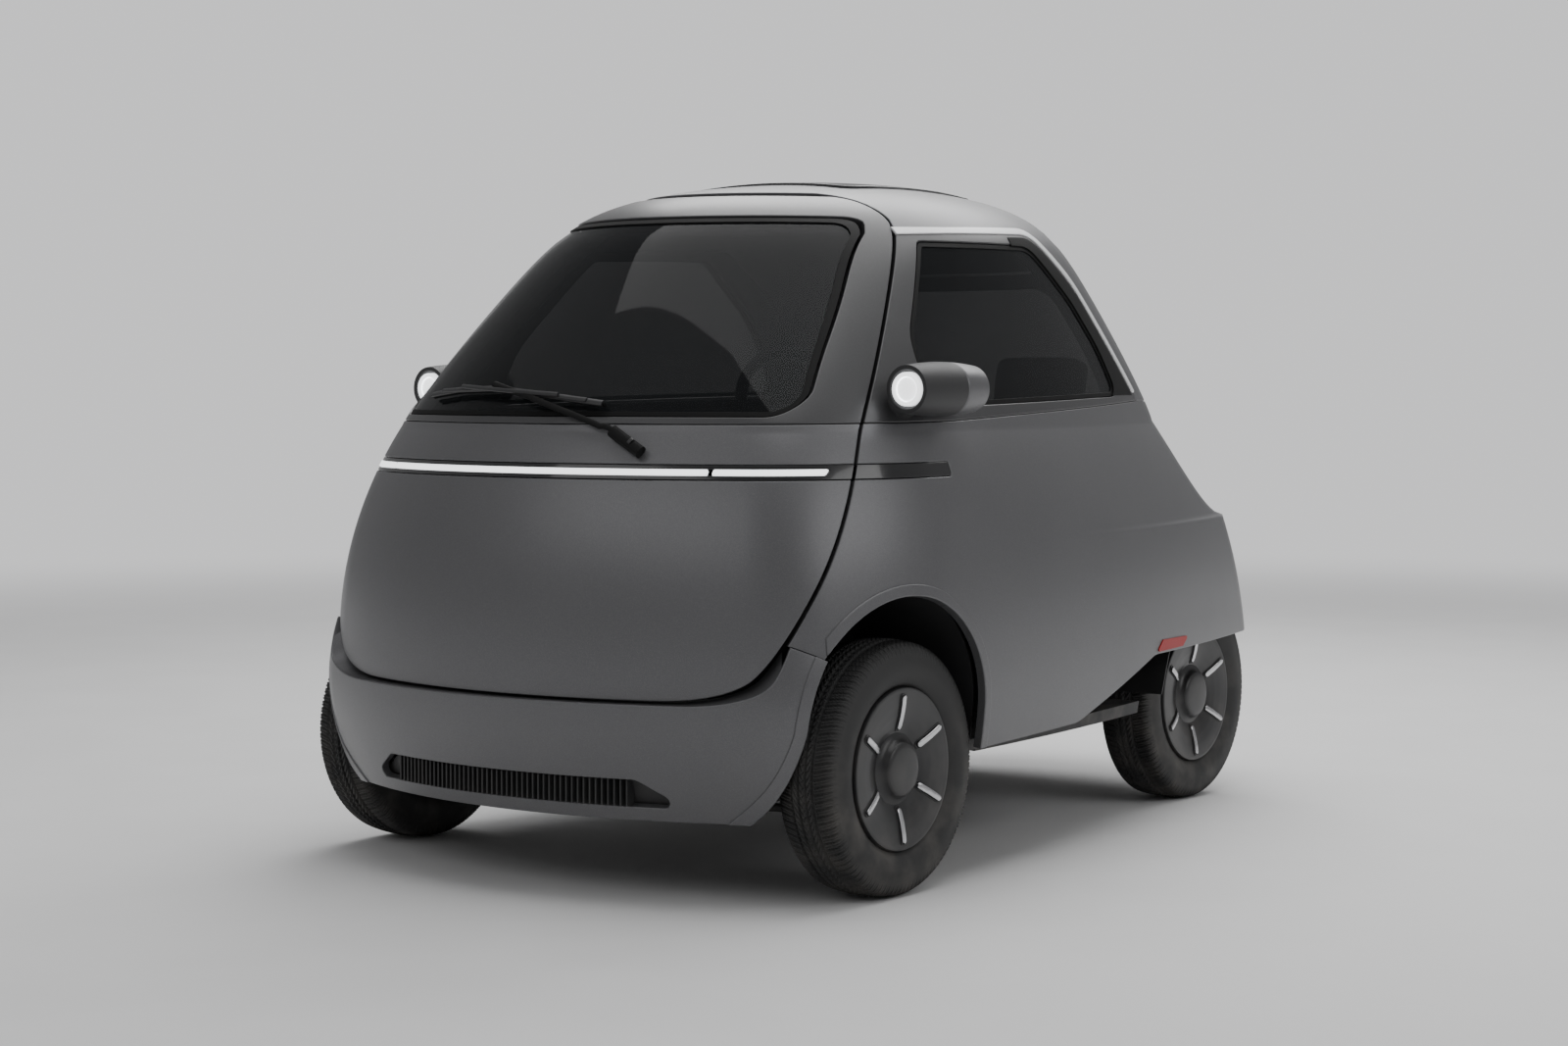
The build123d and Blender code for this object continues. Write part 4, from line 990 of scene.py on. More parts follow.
@dataclass
class BodySkin:
    """Painted and dark panels of the body, each a trimmed sheet of the body's form."""
    wall: float = 36.0
    thin_wall: float = 16.0
    edge: float = 2.5
    gap: float = 6.0
    seam: float = 1.5
    joint: float = 0.5
    pane_gap: float = 2.0
    step: float = 9.0
    lip: float = 24.0
    lip_lift: float = 3.2
    strip_slot: tuple = (841.5, 872.5)
    strip_slot_end: float = -564.5
    border: tuple = ((-40, 520), (1004, 1420))
    border_inset: float = 15.0
    roof_rise: float = 6.0
    ledge_sink: float = 1.2
    ledge_depth: float = 30.0
    ledge_thick: float = 2.5
    ledge_search: tuple = (330.0, 640.0)

    def panel(self, name: str, u: tuple[float, float], h: tuple[float, float], cuts: Sequence[Cut],
              finish: Finish, body: str, replaces: Sequence[str], form: Form = Form.BODY,
              thick: Optional[float] = None, lift: float = 0.0, edge: Optional[float] = None,
              step: Optional[float] = None, mirror_to: Optional[tuple] = None) -> None:
        """Trim one panel and show it, and its mirror image as a second piece where one is named."""
        edge = self.edge if edge is None else edge
        sheet = Sheet.window(u, h, step or self.step, form).trimmed(cuts, edge)
        data = sheet.solid(thick or self.wall, edge, lift)
        show(name, data, finish, body, replaces)
        if mirror_to:
            other, nodes = mirror_to
            show(other, data.mirrored(), finish, body, nodes)

    def seam_height(self, u: Array, form: Form, wanted: float) -> Array:
        """Height on a form, at each plan parameter, a wanted distance below the door seam.

        The height is found by halving the interval of ledge_search.
        """
        low, high = (np.full(len(u), end) for end in self.ledge_search)
        for _ in range(30):
            mid = (low + high) / 2
            far = DOOR_SEAM.distance(BODY.points(np.stack([u, mid], 1), form)) > wanted
            low, high = np.where(far, mid, low), np.where(far, high, mid)
        return (low + high) / 2

    def ledge(self) -> MeshData:
        """Painted ledge that runs from the bumper's upper edge in under the door."""
        u = np.linspace(-0.5, 0.5, 1201)
        outer = np.stack([u, self.seam_height(u, Form.BUMPER, self.gap + self.ledge_sink)], 1)
        inner = np.stack([u, self.seam_height(u, Form.BODY, self.gap)], 1)
        a = BODY.points(outer, Form.BUMPER) - BODY.normals(outer, Form.BUMPER) * self.ledge_sink
        b = BODY.points(inner) - BODY.normals(inner) * self.ledge_depth
        seen = (BUMPER_SEAM.distance(a) < -2.0) & (BUMPER_SEAM.distance(b) < -2.0)
        a, b = a[seen], b[seen]
        down = np.cross(np.gradient(a, axis=0), b - a)
        down = down / np.linalg.norm(down, axis=1, keepdims=True)
        down = np.where(down[:, 2:] > 0, -down, down) * self.ledge_thick
        rings = np.stack([a, b, b + down, a + down], 1)
        last = 4 * len(rings) - 4
        near, far = [[0, 2, 1], [0, 3, 2]], [[last, last + 1, last + 2], [last, last + 2, last + 3]]
        caps = np.array(near + far)
        tris = np.concatenate([grid_tris(len(rings), 4, close_columns=True), caps])
        return outward(MeshData(rings.reshape(-1, 3), tris))

    def build(self) -> None:
        """All panels, from the door round the flanks and the nose to the roof and the tail."""
        self.door()
        self.flanks()
        self.nose()
        self.roof_and_windows()
        self.tail()

    def door(self) -> None:
        """The door's skin, with a slot for the strip, and the windscreen's surround above it."""
        strip = rectangle((-900, 900), self.strip_slot, 0, View.FRONT)
        self.panel("door_skin", (-0.5, 0.5), (400, 960),
                   [Cut(DOOR_SEAM), Cut(BELT_LINE, False, self.joint), Cut(strip, False)],
                   PAINT, "front_door", ["door_panel"])
        self.panel("screen_surround", (-0.5, 0.5), (935, BODY.shoulder_h + 160),
                   [Cut(DOOR_SEAM), Cut(BELT_LINE, True, self.joint),
                    Cut(SCREEN_OPENING, False, self.pane_gap, to_y=-200)],
                   DARK_PAINT, "front_door", ["screen_frame"], step=8.0)

    def flanks(self) -> None:
        """The sides, and the raised lip round each front arch in its two lengths."""
        side_strip = rectangle((-1200, self.strip_slot_end), self.strip_slot, 0, View.SIDE)
        self.panel("flank_left", (0.2, 0.999), (BODY.low, 1000),
                   [Cut(DOOR_SEAM, False, self.gap), Cut(BUMPER_SEAM, False, self.seam),
                    Cut(SKIRT_LINE, False), Cut(ARCH, False), Cut(BELT_LINE, False, self.joint),
                    Cut(REAR_SEAM, False, 1.0, from_y=300), Cut(side_strip, False)], PAINT, "body",
                   ["side_left"], mirror_to=("flank_right", ["side_right"]),
                   thick=self.thin_wall)
        around = [Cut(ARCH, False), Cut(ARCH, True, -self.lip)]
        lips = (("arch_lip", (0.3, 0.7), 660, Form.BODY,
                 around + [Cut(SKIRT_LINE, False), Cut(BUMPER_SEAM, False, self.seam)]),
                ("bumper_lip", (0.2, 0.5), 640, Form.BUMPER, around + [Cut(BUMPER_SEAM, True)]))
        for name, u, top, form, cuts in lips:
            self.panel(name + "_left", u, (BODY.low, top), cuts, PAINT, "body", [], form,
                       thick=18.0, edge=3.0, step=6.0, lift=self.lip_lift,
                       mirror_to=(name + "_right", []))

    def nose(self) -> None:
        """The bumper with its air inlet, and the ledge behind its upper edge."""
        self.panel("nose_bumper", (-0.5, 0.5), (BODY.low, 600),
                   [Cut(BUMPER_SEAM, True), Cut(DOOR_SEAM, False, self.gap), Cut(ARCH, False),
                    Cut(GRILLE, False, 1.0, to_y=-900)],
                   PAINT, "body", ["front_bumper"], Form.BUMPER, thick=self.thin_wall)
        show("bumper_ledge", self.ledge(), PAINT, "body", ())

    def roof_and_windows(self) -> None:
        """The roof, and on each side the dark window surround with its soft border."""
        top = BODY.top_h
        self.panel("roof_skin", (-1.0, 1.0), (935, top),
                   [Cut(DOOR_SEAM, False, self.gap), Cut(BELT_LINE),
                    Cut(DRIP_LINE, False, self.joint), Cut(TAILGATE, False, self.gap, from_y=60)],
                   PAINT, "body", ["roof"], step=11.0)
        self.panel("window_surround_left", (0.2, 0.95), (935, top - 250),
                   [Cut(DOOR_SEAM, False, self.gap), Cut(BELT_LINE, True, self.joint),
                    Cut(DRIP_LINE, True, self.joint), Cut(SIDE_WINDOW, False, self.pane_gap)],
                   DARK_PAINT, "body", ["window_frame_left"],
                   mirror_to=("window_surround_right", ["window_frame_right"]),
                   step=8.0)
        rear_part = rectangle(*self.border, 0, View.SIDE)
        self.panel("window_border_left", (0.2, 0.95), (945, top - 100),
                   [Cut(DRIP_LINE, True, self.border_inset), Cut(SIDE_WINDOW, False, -1.0),
                    Cut(rear_part)], SEAL, "body", [], thick=5.0, edge=0.8, lift=1.2, step=6.0,
                   mirror_to=("window_border_right", []))

    def tail(self) -> None:
        """The tail, the tailgate and, on the roof, the sunroof's panel."""
        self.panel("tail_skin", (0.68, 1.32), (BODY.low, 1005),
                   [Cut(REAR_SEAM, True, 1.0), Cut(BELT_LINE, False, self.joint),
                    Cut(SKIRT_LINE, False), Cut(TAILGATE, False, self.gap, from_y=60)], PAINT,
                   "body", ["rear_body"])
        self.panel("tailgate_skin", (0.6, 1.4), (780, BODY.shoulder_h),
                   [Cut(TAILGATE), Cut(REAR_GLASS, False, self.pane_gap, from_y=60)],
                   PAINT, "tailgate_body", ["tailgate"])
        self.panel("sunroof_panel", (-1.0, 1.0), (BODY.shoulder_h + 100, BODY.top_h),
                   [Cut(SUNROOF)], BLACK_GLOSS, "body", ["sunroof"], lift=self.roof_rise, thick=6.0,
                   edge=2.0)


@dataclass
class Glazing:
    """Windows: thin sheets of the same form, set in under the skin, each in a soft seal."""
    inset: float = 5.0
    thick: float = 5.0
    seal: float = 9.0
    seal_thick: float = 6.0
    seal_rise: float = 2.5

    def pane(self, name: str, u: tuple[float, float], h: tuple[float, float], cut: Cut, body: str,
             nodes: Sequence[str], mirror_to: Optional[tuple] = None) -> None:
        """One pane and its seal."""
        sheet = Sheet.window(u, h, 12.0)
        glass = sheet.trimmed([cut], 1.0).solid(self.thick, 1.0, -self.inset, 2)
        band = Sheet.window(u, h, 8.0).trimmed([cut], 0.5)
        hole = Cut(cut.outline, False, -self.seal)
        band = band.trimmed([hole], 0.5)
        band = band.solid(self.seal_thick, 0.8, -self.inset + self.seal_rise, 2)
        show(name, glass, TINTED, body, nodes)
        show(name + "_seal", band, SEAL, body)
        if mirror_to:
            other, others = mirror_to
            show(other, glass.mirrored(), TINTED, body, others)
            show(other + "_seal", band.mirrored(), SEAL, body)

    def build(self) -> None:
        """Windscreen, side windows and rear window."""
        self.pane("windscreen_glass", (-0.5, 0.5), (940, BODY.shoulder_h + 120),
                  Cut(SCREEN_OPENING), "front_door", ["windscreen"])
        self.pane("window_left", (0.2, 0.95), (940, BODY.shoulder_h + 60), Cut(SIDE_WINDOW), "body",
                  ["side_glass_left"], ("window_right", ["side_glass_right"]))
        self.pane("rear_window", (0.6, 1.4), (940, BODY.shoulder_h), Cut(REAR_GLASS),
                  "tailgate_body", ["rear_glass"])


@dataclass
class NoseLights:
    """Black strip round the nose with the light line in it."""
    low: float = 843.0
    high: float = 871.0
    line: tuple = (851.0, 863.0)
    reach: float = 608.0
    split: float = 431.0
    half_break: float = 4.5
    strip_end: float = -566.0
    strip_thick: float = 6.0
    strip_set: float = -0.6
    line_rise: float = 0.8

    def build(self, skin: BodySkin) -> None:
        """Strip on the door, its ends on the flanks and three lit lengths."""
        band = rectangle((-900, 900), (self.low, self.high), 0, View.FRONT)
        line = rectangle((-self.reach, self.reach), self.line, 2.0, View.FRONT)
        skin.panel("nose_strip_black", (-0.5, 0.5), (self.low - 6, self.high + 6),
                   [Cut(DOOR_SEAM), Cut(band), Cut(line, False, 0.3, to_y=-800)], BLACK_GLOSS,
                   "front_door", ["nose_strip"], thick=self.strip_thick, edge=0.8, step=4.0,
                   lift=self.strip_set)
        inner, outer = self.split - self.half_break, self.split + self.half_break
        lengths = [("light_line_middle", (-inner, inner)), ("light_line_left", (outer, self.reach)),
                   ("light_line_right", (-self.reach, -outer))]
        for name, span in lengths:
            cut = Cut(rectangle(span, self.line, 2.5, View.FRONT))
            skin.panel(name, (-0.35, 0.35), (self.low - 4, self.high + 4), [cut], LIT, "front_door",
                       ["light_line"] if name.endswith("middle") else [], thick=self.strip_thick,
                       edge=1.0, step=3.0, lift=self.line_rise)
        end = rectangle((-1200, self.strip_end), (self.low, self.high), 0, View.SIDE)
        skin.panel("flank_strip_left", (0.2, 0.7), (self.low - 6, self.high + 6),
                   [Cut(DOOR_SEAM, False, skin.gap), Cut(end)], BLACK_GLOSS, "body",
                   ["side_strips"], thick=self.strip_thick, edge=0.8, step=4.0, lift=self.strip_set,
                   mirror_to=("flank_strip_right", []))


@dataclass
class BrightStrip:
    """Bright strip along the joint of the roof and the window surround."""
    width: float = 15.0
    reach: tuple = ((-446, 520), (1010, 1500))

    def build(self, skin: BodySkin) -> None:
        """Strip on both sides."""
        window = rectangle(*self.reach, 0, View.SIDE)
        skin.panel("drip_strip_left", (0.2, 0.98), (960, BODY.top_h - 200),
                   [Cut(DRIP_LINE, True, -self.width / 2), Cut(DRIP_LINE, False, -self.width / 2),
                    Cut(window)], BRIGHT, "body", ["drip_strips"], thick=5.0, edge=1.5, step=5.0,
                   lift=3.0, mirror_to=("drip_strip_right", []))


@dataclass
class RoadWheel:
    """Tyre with its tread, and the disc with six slim inserts and a round cap."""
    radius: float = 260.0
    width: float = 145.0
    rim: float = 165.0
    tread_depth: float = 6.0
    rib_radius: float = 214.0
    rib_height: float = 0.5
    columns: int = 864
    blocks: int = 108
    shoulder_run: float = 24.0
    crown_drop: float = 4.0
    crown_points: int = 45
    grooves: tuple = ((-25.0, 2.6), (-8.0, 2.2), (9.0, 2.2), (26.0, 2.6))
    outer_rib: float = 26.0
    spokes: int = 6
    front_y: float = -789.5
    rear_y: float = 780.5
    front_track: float = 640.0
    rear_track: float = 448.0

    def section(self) -> tuple[Array, Array]:
        """Tyre profile as (x, radius) rows and how much tread each row carries.

        The crown is a shallow arc, the shoulder a short round and the flank a fuller one.
        """
        half = self.width / 2
        edge, drop, count = half - self.shoulder_run, self.crown_drop, self.crown_points
        crown_x = np.linspace(-edge, edge, count)
        crown_r = self.radius - drop * (np.abs(crown_x) / edge) ** 2.2
        a = np.linspace(0, 1, 11)[1:]
        shoulder_x = edge + 19 * np.sin(a * math.pi / 2)
        shoulder_r = self.radius - drop - 26 * (1 - np.cos(a * math.pi / 2))
        b = np.linspace(0, 1, 11)[1:]
        flank_x = half - 5 + 4.5 * np.sin(b * math.pi * 0.9) - 11 * b ** 3
        flank_r = self.radius - 30 + (self.rim + 3 - self.radius + 30) * b
        x = np.concatenate([crown_x, shoulder_x, flank_x])
        r = np.concatenate([crown_r, shoulder_r, flank_r])
        tread = np.concatenate([np.ones(count), 1 - smooth_step(a, 0.75, 1.0), np.zeros(10)])
        keep = slice(count, None)
        x = np.concatenate([-x[keep][::-1], x])
        r = np.concatenate([r[keep][::-1], r])
        tread = np.concatenate([tread[keep][::-1], tread])
        return np.stack([x, r], 1), tread

    def tread(self, angle: Array, x: Array, amount: Array) -> Array:
        """Groove depth from 0 to 1: four grooves round the tyre, and slanted cuts across the ribs.

        The cuts follow angle plus a slant in x, so the pattern leans the same way all round.
        """
        depth = np.zeros(np.broadcast(angle, x).shape)
        for centre, half_width in self.grooves:
            away = np.abs(x - centre)
            depth = np.maximum(depth, 1 - smooth_step(away, half_width - 1.0, half_width + 1.2))
        outer = np.abs(x) > self.outer_rib
        turn = angle + np.where(outer, 0.0009, 0.006) * np.abs(x)
        phase = np.mod(turn * self.blocks / (2 * math.pi) + np.where(x > 0, 0.25, 0.0), 1.0)
        cut = 1 - smooth_step(np.abs(phase - 0.5), 0.08, 0.22)
        sipe = 1 - smooth_step(np.minimum(phase, 1 - phase), 0.04, 0.15)
        across = np.where(outer, np.maximum(0.8 * cut, 0.45 * sipe), 0.5 * cut)
        return np.maximum(depth, across) * amount

    def tyre(self) -> MeshData:
        """Tyre at the origin, its axle along X: the section carried round, sunk by the tread."""
        section, amount = self.section()
        angle = np.linspace(0, 2 * math.pi, self.columns, endpoint=False)[None]
        x, r = section[:, :1], section[:, 1:]
        sink = self.tread(angle, x, amount[:, None]) * self.tread_depth
        ribs = self.rib_height * (np.abs(r - self.rib_radius) < 1.5)
        r = r - sink + ribs
        pts = np.stack([np.broadcast_to(x, r.shape), r * np.cos(angle), r * np.sin(angle)],
                       -1).reshape(-1, 3)
        bead = revolve(np.array([(section[-1, 0], section[-1, 1]), (self.width / 2 - 20, self.rim),
                                 (-self.width / 2 + 20, self.rim), (section[0, 0], section[0, 1])]),
                       self.columns)
        outer = MeshData(pts, grid_tris(len(section), self.columns, close_columns=True))
        return outward(welded(outer.merged(bead)))

    def face(self, radius: Array) -> Array:
        """Station of the dished face at a radius: deepest by the cap, level with the rim."""
        deep = np.array([23.0, 22.0, 17.5, 12.0, 6.5, 2.6, 0.8, 0.0])
        at = np.array([0.0, 60.0, 74.0, 88.0, 108.0, 130.0, 146.0, 156.0])
        return self.width / 2 - 8.0 - np.interp(radius, at, deep)

    def disc(self) -> MeshData:
        """Wheel with a dished face, turned from one profile; +X is outward."""
        half = self.width / 2
        radius = np.linspace(36.0, 156.0, 31)
        front = [(half - 32, 0), (half - 31, 34)] + list(zip(self.face(radius), radius))
        back = [(half - 7.4, 160), (half - 8.0, 163.5), (half - 12, 165.5), (half - 22, 166),
                (half - 26, 160), (half - 32, 153), (-half + 30, 150), (-half + 14, 158),
                (-half + 12, 165), (-half + 9, 165), (-half + 9, 155), (-half + 22, 147),
                (half - 38, 145), (half - 42, 120), (half - 38, 60), (half - 38, 0)]
        return outward(revolve(np.array(front + back, float), 120))

    def cap(self) -> MeshData:
        """Centre cap: a cone with a hollow flank that flares on to the disc, and a crowned face."""
        edge = self.width / 2 - 8.0
        face = [(edge - 30, 0), (edge - 30, 70), (edge - 20.5, 74), (edge - 18.0, 73.5),
                (edge - 16.5, 68), (edge - 13.5, 62), (edge - 9.5, 58), (edge - 3.0, 55.5),
                (edge + 0.5, 53.5), (edge + 2.2, 50), (edge + 3.2, 42), (edge + 4.2, 25),
                (edge + 4.6, 0)]
        return outward(revolve(np.array(face, float), 96))

    def inserts(self) -> MeshData:
        """Six slim bars lying on the dish, of one width, with rounded ends and a crowned face."""
        steps = np.linspace(0, 1, 33)
        radius = 79 + 70 * steps
        widths = 13.5 * np.sqrt(np.clip(1 - (np.abs(2 * steps - 1)) ** 18, 0.03, 1))
        x = self.face(radius) + 3.2
        ring = round_section(1.0, 1.0, 3.4, 16)
        count = len(steps)
        pts = np.stack([np.broadcast_to(x[:, None], (count, 16)) + ring[None, :, 1] * 5.5,
                        np.broadcast_to(radius[:, None], (count, 16)),
                        ring[None, :, 0] * widths[:, None]], -1)
        tris = grid_tris(count, 16, close_columns=True)
        total = count * 16
        turned = np.roll(np.arange(16), -1)
        ends = [np.stack([np.full(16, total), turned, np.arange(16)], 1),
                np.stack([np.full(16, total + 1), total - 16 + np.arange(16), total - 16 + turned],
                         1)]
        flat = np.concatenate([pts.reshape(-1, 3), pts[0].mean(0)[None], pts[-1].mean(0)[None]])
        bar = outward(MeshData(flat, np.concatenate([tris] + ends)))
        return self.all_round(bar)

    def pocket_rims(self) -> MeshData:
        """Raised lip round each insert: a thin rod that follows the insert's outline."""
        a = np.linspace(0, 2 * math.pi, 64, endpoint=False)
        radius = 114 + 38 * np.sign(np.cos(a)) * np.abs(np.cos(a)) ** 0.35
        across = 9.4 * np.sign(np.sin(a)) * np.abs(np.sin(a)) ** 0.5
        path = np.stack([self.face(radius) + 0.4, radius, across], 1)
        rod = sweep(path, round_section(2.4, 3.0, 2.0, 8), np.array([1.0, 0.0, 0.0]), closed=True)
        return self.all_round(rod)

    def all_round(self, piece: MeshData) -> MeshData:
        """The piece once for each spoke, evenly round the axle."""
        step = 360.0 / self.spokes
        whole = moved(piece, (0, 0, 0), axis_turn("X", 90.0))
        for k in range(1, self.spokes):
            whole = whole.merged(moved(piece, (0, 0, 0), axis_turn("X", step * k + 90.0)))
        return whole

    def build(self) -> None:
        """The four wheels."""
        parts = [("tyre", self.tyre(), RUBBER), ("disc", self.disc(), WHEEL_BLACK),
                 ("cap", self.cap(), WHEEL_BLACK), ("inserts", self.inserts(), SILVER),
                 ("lips", self.pocket_rims(), WHEEL_BLACK)]
        nodes = {"tyre": "tyre", "disc": "wheel"}
        axles = (("f", self.front_y, self.front_track), ("r", self.rear_y, self.rear_track))
        for end, y, track in axles:
            for hand, side in (("l", 1), ("r", -1)):
                place = (side * track, y, self.radius)
                body = f"road_wheel_{end}{hand}"
                for label, data, finish in parts:
                    piece = moved(data if side > 0 else data.mirrored(), place)
                    replaced = [f"{nodes[label]}_{end}{hand}"] if label in nodes else []
                    show(f"{label}_piece_{end}{hand}", piece, finish, body, replaced)


@dataclass
class LampPods:
    """Capsule pods: lamp in front, mirror behind, on a bracket from the belt."""
    x: float = 664.0
    z: float = 1021.0
    front: float = -722.0
    rear: float = -488.0
    radius: float = 56.0
    rows: int = 49
    front_rows: int = 31
    bracket: tuple = ((560, -655, 966), (604, -676, 990))
    bracket_end: tuple = (-640, 1008)
    bracket_run: float = 8.0

    def build(self) -> None:
        """Both pods, each of a dark front half, a painted rear half, a lamp and a mirror."""
        length = self.rear - self.front
        share = np.linspace(0, 1, self.rows)
        swell = np.sin(np.pi * np.clip(0.08 + 0.84 * share, 0, 1)) ** 0.7
        shape = self.radius * (0.80 + 0.20 * swell)
        turn = np.array([[0.0, -1.0, 0.0], [1.0, 0.0, 0.0], [0.0, 0.0, 1.0]])
        place = (self.x, self.front, self.z)
        split = self.front_rows
        at, rim, tail = length * share[split - 1], shape[split], shape[-1]
        curve = [(length * s, r) for s, r in zip(share, shape)]
        front = np.array([(14, 0), (14, 36), (3, 38), (0, 41)] + curve[:split]
                         + [(at, rim - 2.0), (at, 0)])
        rear = np.array([(at + 1.6, 0), (at + 1.6, rim - 1.6)] + curve[split:]
                        + [(length + 1.5, tail - 2.5), (length, tail - 5), (length - 8, tail - 6),
                           (length - 8, 0)])
        ring = np.array([(12, 25.5), (-1.5, 26), (-3, 28), (-3, 32.5), (-1.5, 34.5), (12, 35)])
        bowl = np.array([(13, 0), (13, 24.8), (3, 25.2), (1.0, 22), (1.5, 12), (0.0, 0)])
        glass = np.array([(length - 9, 0), (length - 9, tail - 6.5), (length - 4, tail - 6.5),
                          (length - 3, tail - 8), (length - 3.5, 0)])
        joint = np.array([(at + 0.4, rim - 4), (at + 0.4, rim - 0.8), (at + 1.2, rim - 0.8),
                          (at + 1.2, rim - 4)])
        pieces = [("pod_front", front, DARK_TRIM, False), ("pod_rear", rear, PAINT, False),
                  ("pod_ring", ring, LIT, True), ("pod_bowl", bowl, LIT, False),
                  ("pod_glass", glass, MIRROR, False), ("pod_joint", joint, SEAL, True)]
        nodes = {"pod_front": "pods", "pod_bowl": "pod_lamps", "pod_glass": "pod_mirrors"}
        for name, profile, finish, loop in pieces:
            rows = np.concatenate([profile, profile[:1]]) if loop else profile
            data = outward(moved(outward(revolve(rows, 64)), place, turn))
            show(name + "_left", data, finish, "body", [nodes[name]] if name in nodes else [])
            show(name + "_right", data.mirrored(), finish, "body")
        t = np.linspace(0, 1, 21)[:, None]
        start, middle = (np.array(point) for point in self.bracket)
        end = np.array([self.x - self.bracket_run, *self.bracket_end])
        path = (1 - t) ** 2 * start + 2 * t * (1 - t) * middle + t ** 2 * end
        stem = sweep(path, round_section(80, 62, 2.2, 28), np.array([0.0, 0.0, 1.0]))
        show("pod_bracket_left", stem, DARK_TRIM, "body")
        show("pod_bracket_right", stem.mirrored(), DARK_TRIM, "body")


@dataclass
class Wiper:
    """Single wiper: pivot cap, arm with its spring box, and a bridged blade along the glass."""

    def on_form(self, front: Sequence[tuple[float, float]], lift: float, count: int) -> Array:
        """Points over the nose: straight lengths of the front view, put on the form and lifted.

        For each (x, z) the parameter u is found by halving the interval, because x grows with u.
        """
        marks = np.array(front, float)
        run = np.concatenate([[0], np.cumsum(np.linalg.norm(np.diff(marks, axis=0), axis=1))])
        s = np.linspace(0, run[-1], count)
        x, z = np.interp(s, run, marks[:, 0]), np.interp(s, run, marks[:, 1])
        low, high = np.full(count, -0.5), np.full(count, 0.5)
        for _ in range(40):
            mid = (low + high) / 2
            less = BODY.points(np.stack([mid, z], 1))[:, 0] < x
            low, high = np.where(less, mid, low), np.where(less, high, mid)
        uh = np.stack([(low + high) / 2, z], 1)
        return BODY.points(uh) + BODY.normals(uh) * lift

    def build(self) -> None:
        """The wiper's pieces."""
        up = np.array([0.0, -0.8, 0.6])
        arm = self.on_form([(284, 892), (205, 935), (119, 960), (-20, 998), (-135, 1022)], 17.0, 40)
        show("wiper_arm", sweep(arm, round_section(13, 8, 3.0, 16), up), SEAL, "front_door",
             ["wiper"])
        head = self.on_form([(290, 889), (214, 930)], 14.0, 12)
        show("wiper_head", sweep(head, round_section(26, 20, 2.6, 24), up), SEAL, "front_door")
        tip = self.on_form([(268, 905), (262, 909)], 22.0, 4)
        show("wiper_nut", sweep(tip, round_section(15, 8, 2.4, 20), up), WHEEL_BLACK, "front_door")
        blade = self.on_form([(172, 986), (20, 1003), (-133, 1015), (-260, 1012), (-372, 1001)],
                             5.0, 60)
        show("wiper_rubber", sweep(blade, round_section(6, 12, 2.0, 12), up), SEAL, "front_door")
        back = self.on_form([(168, 987), (20, 1004), (-133, 1016), (-260, 1013), (-368, 1002)],
                            11.0, 60)
        show("wiper_blade", sweep(back, round_section(14, 6, 2.4, 12), up), WHEEL_BLACK,
             "front_door")
        ends = (((130, 992), (-70, 1010)), ((-130, 1016), (-320, 1009)), ((60, 1000), (-240, 1016)))
        for k, pair in enumerate(ends):
            bow = self.on_form(pair, 14.0 if k < 2 else 19.0, 16)
            show(f"wiper_bow_{k}", sweep(bow, round_section(11, 6, 2.4, 10), up), WHEEL_BLACK,
                 "front_door")


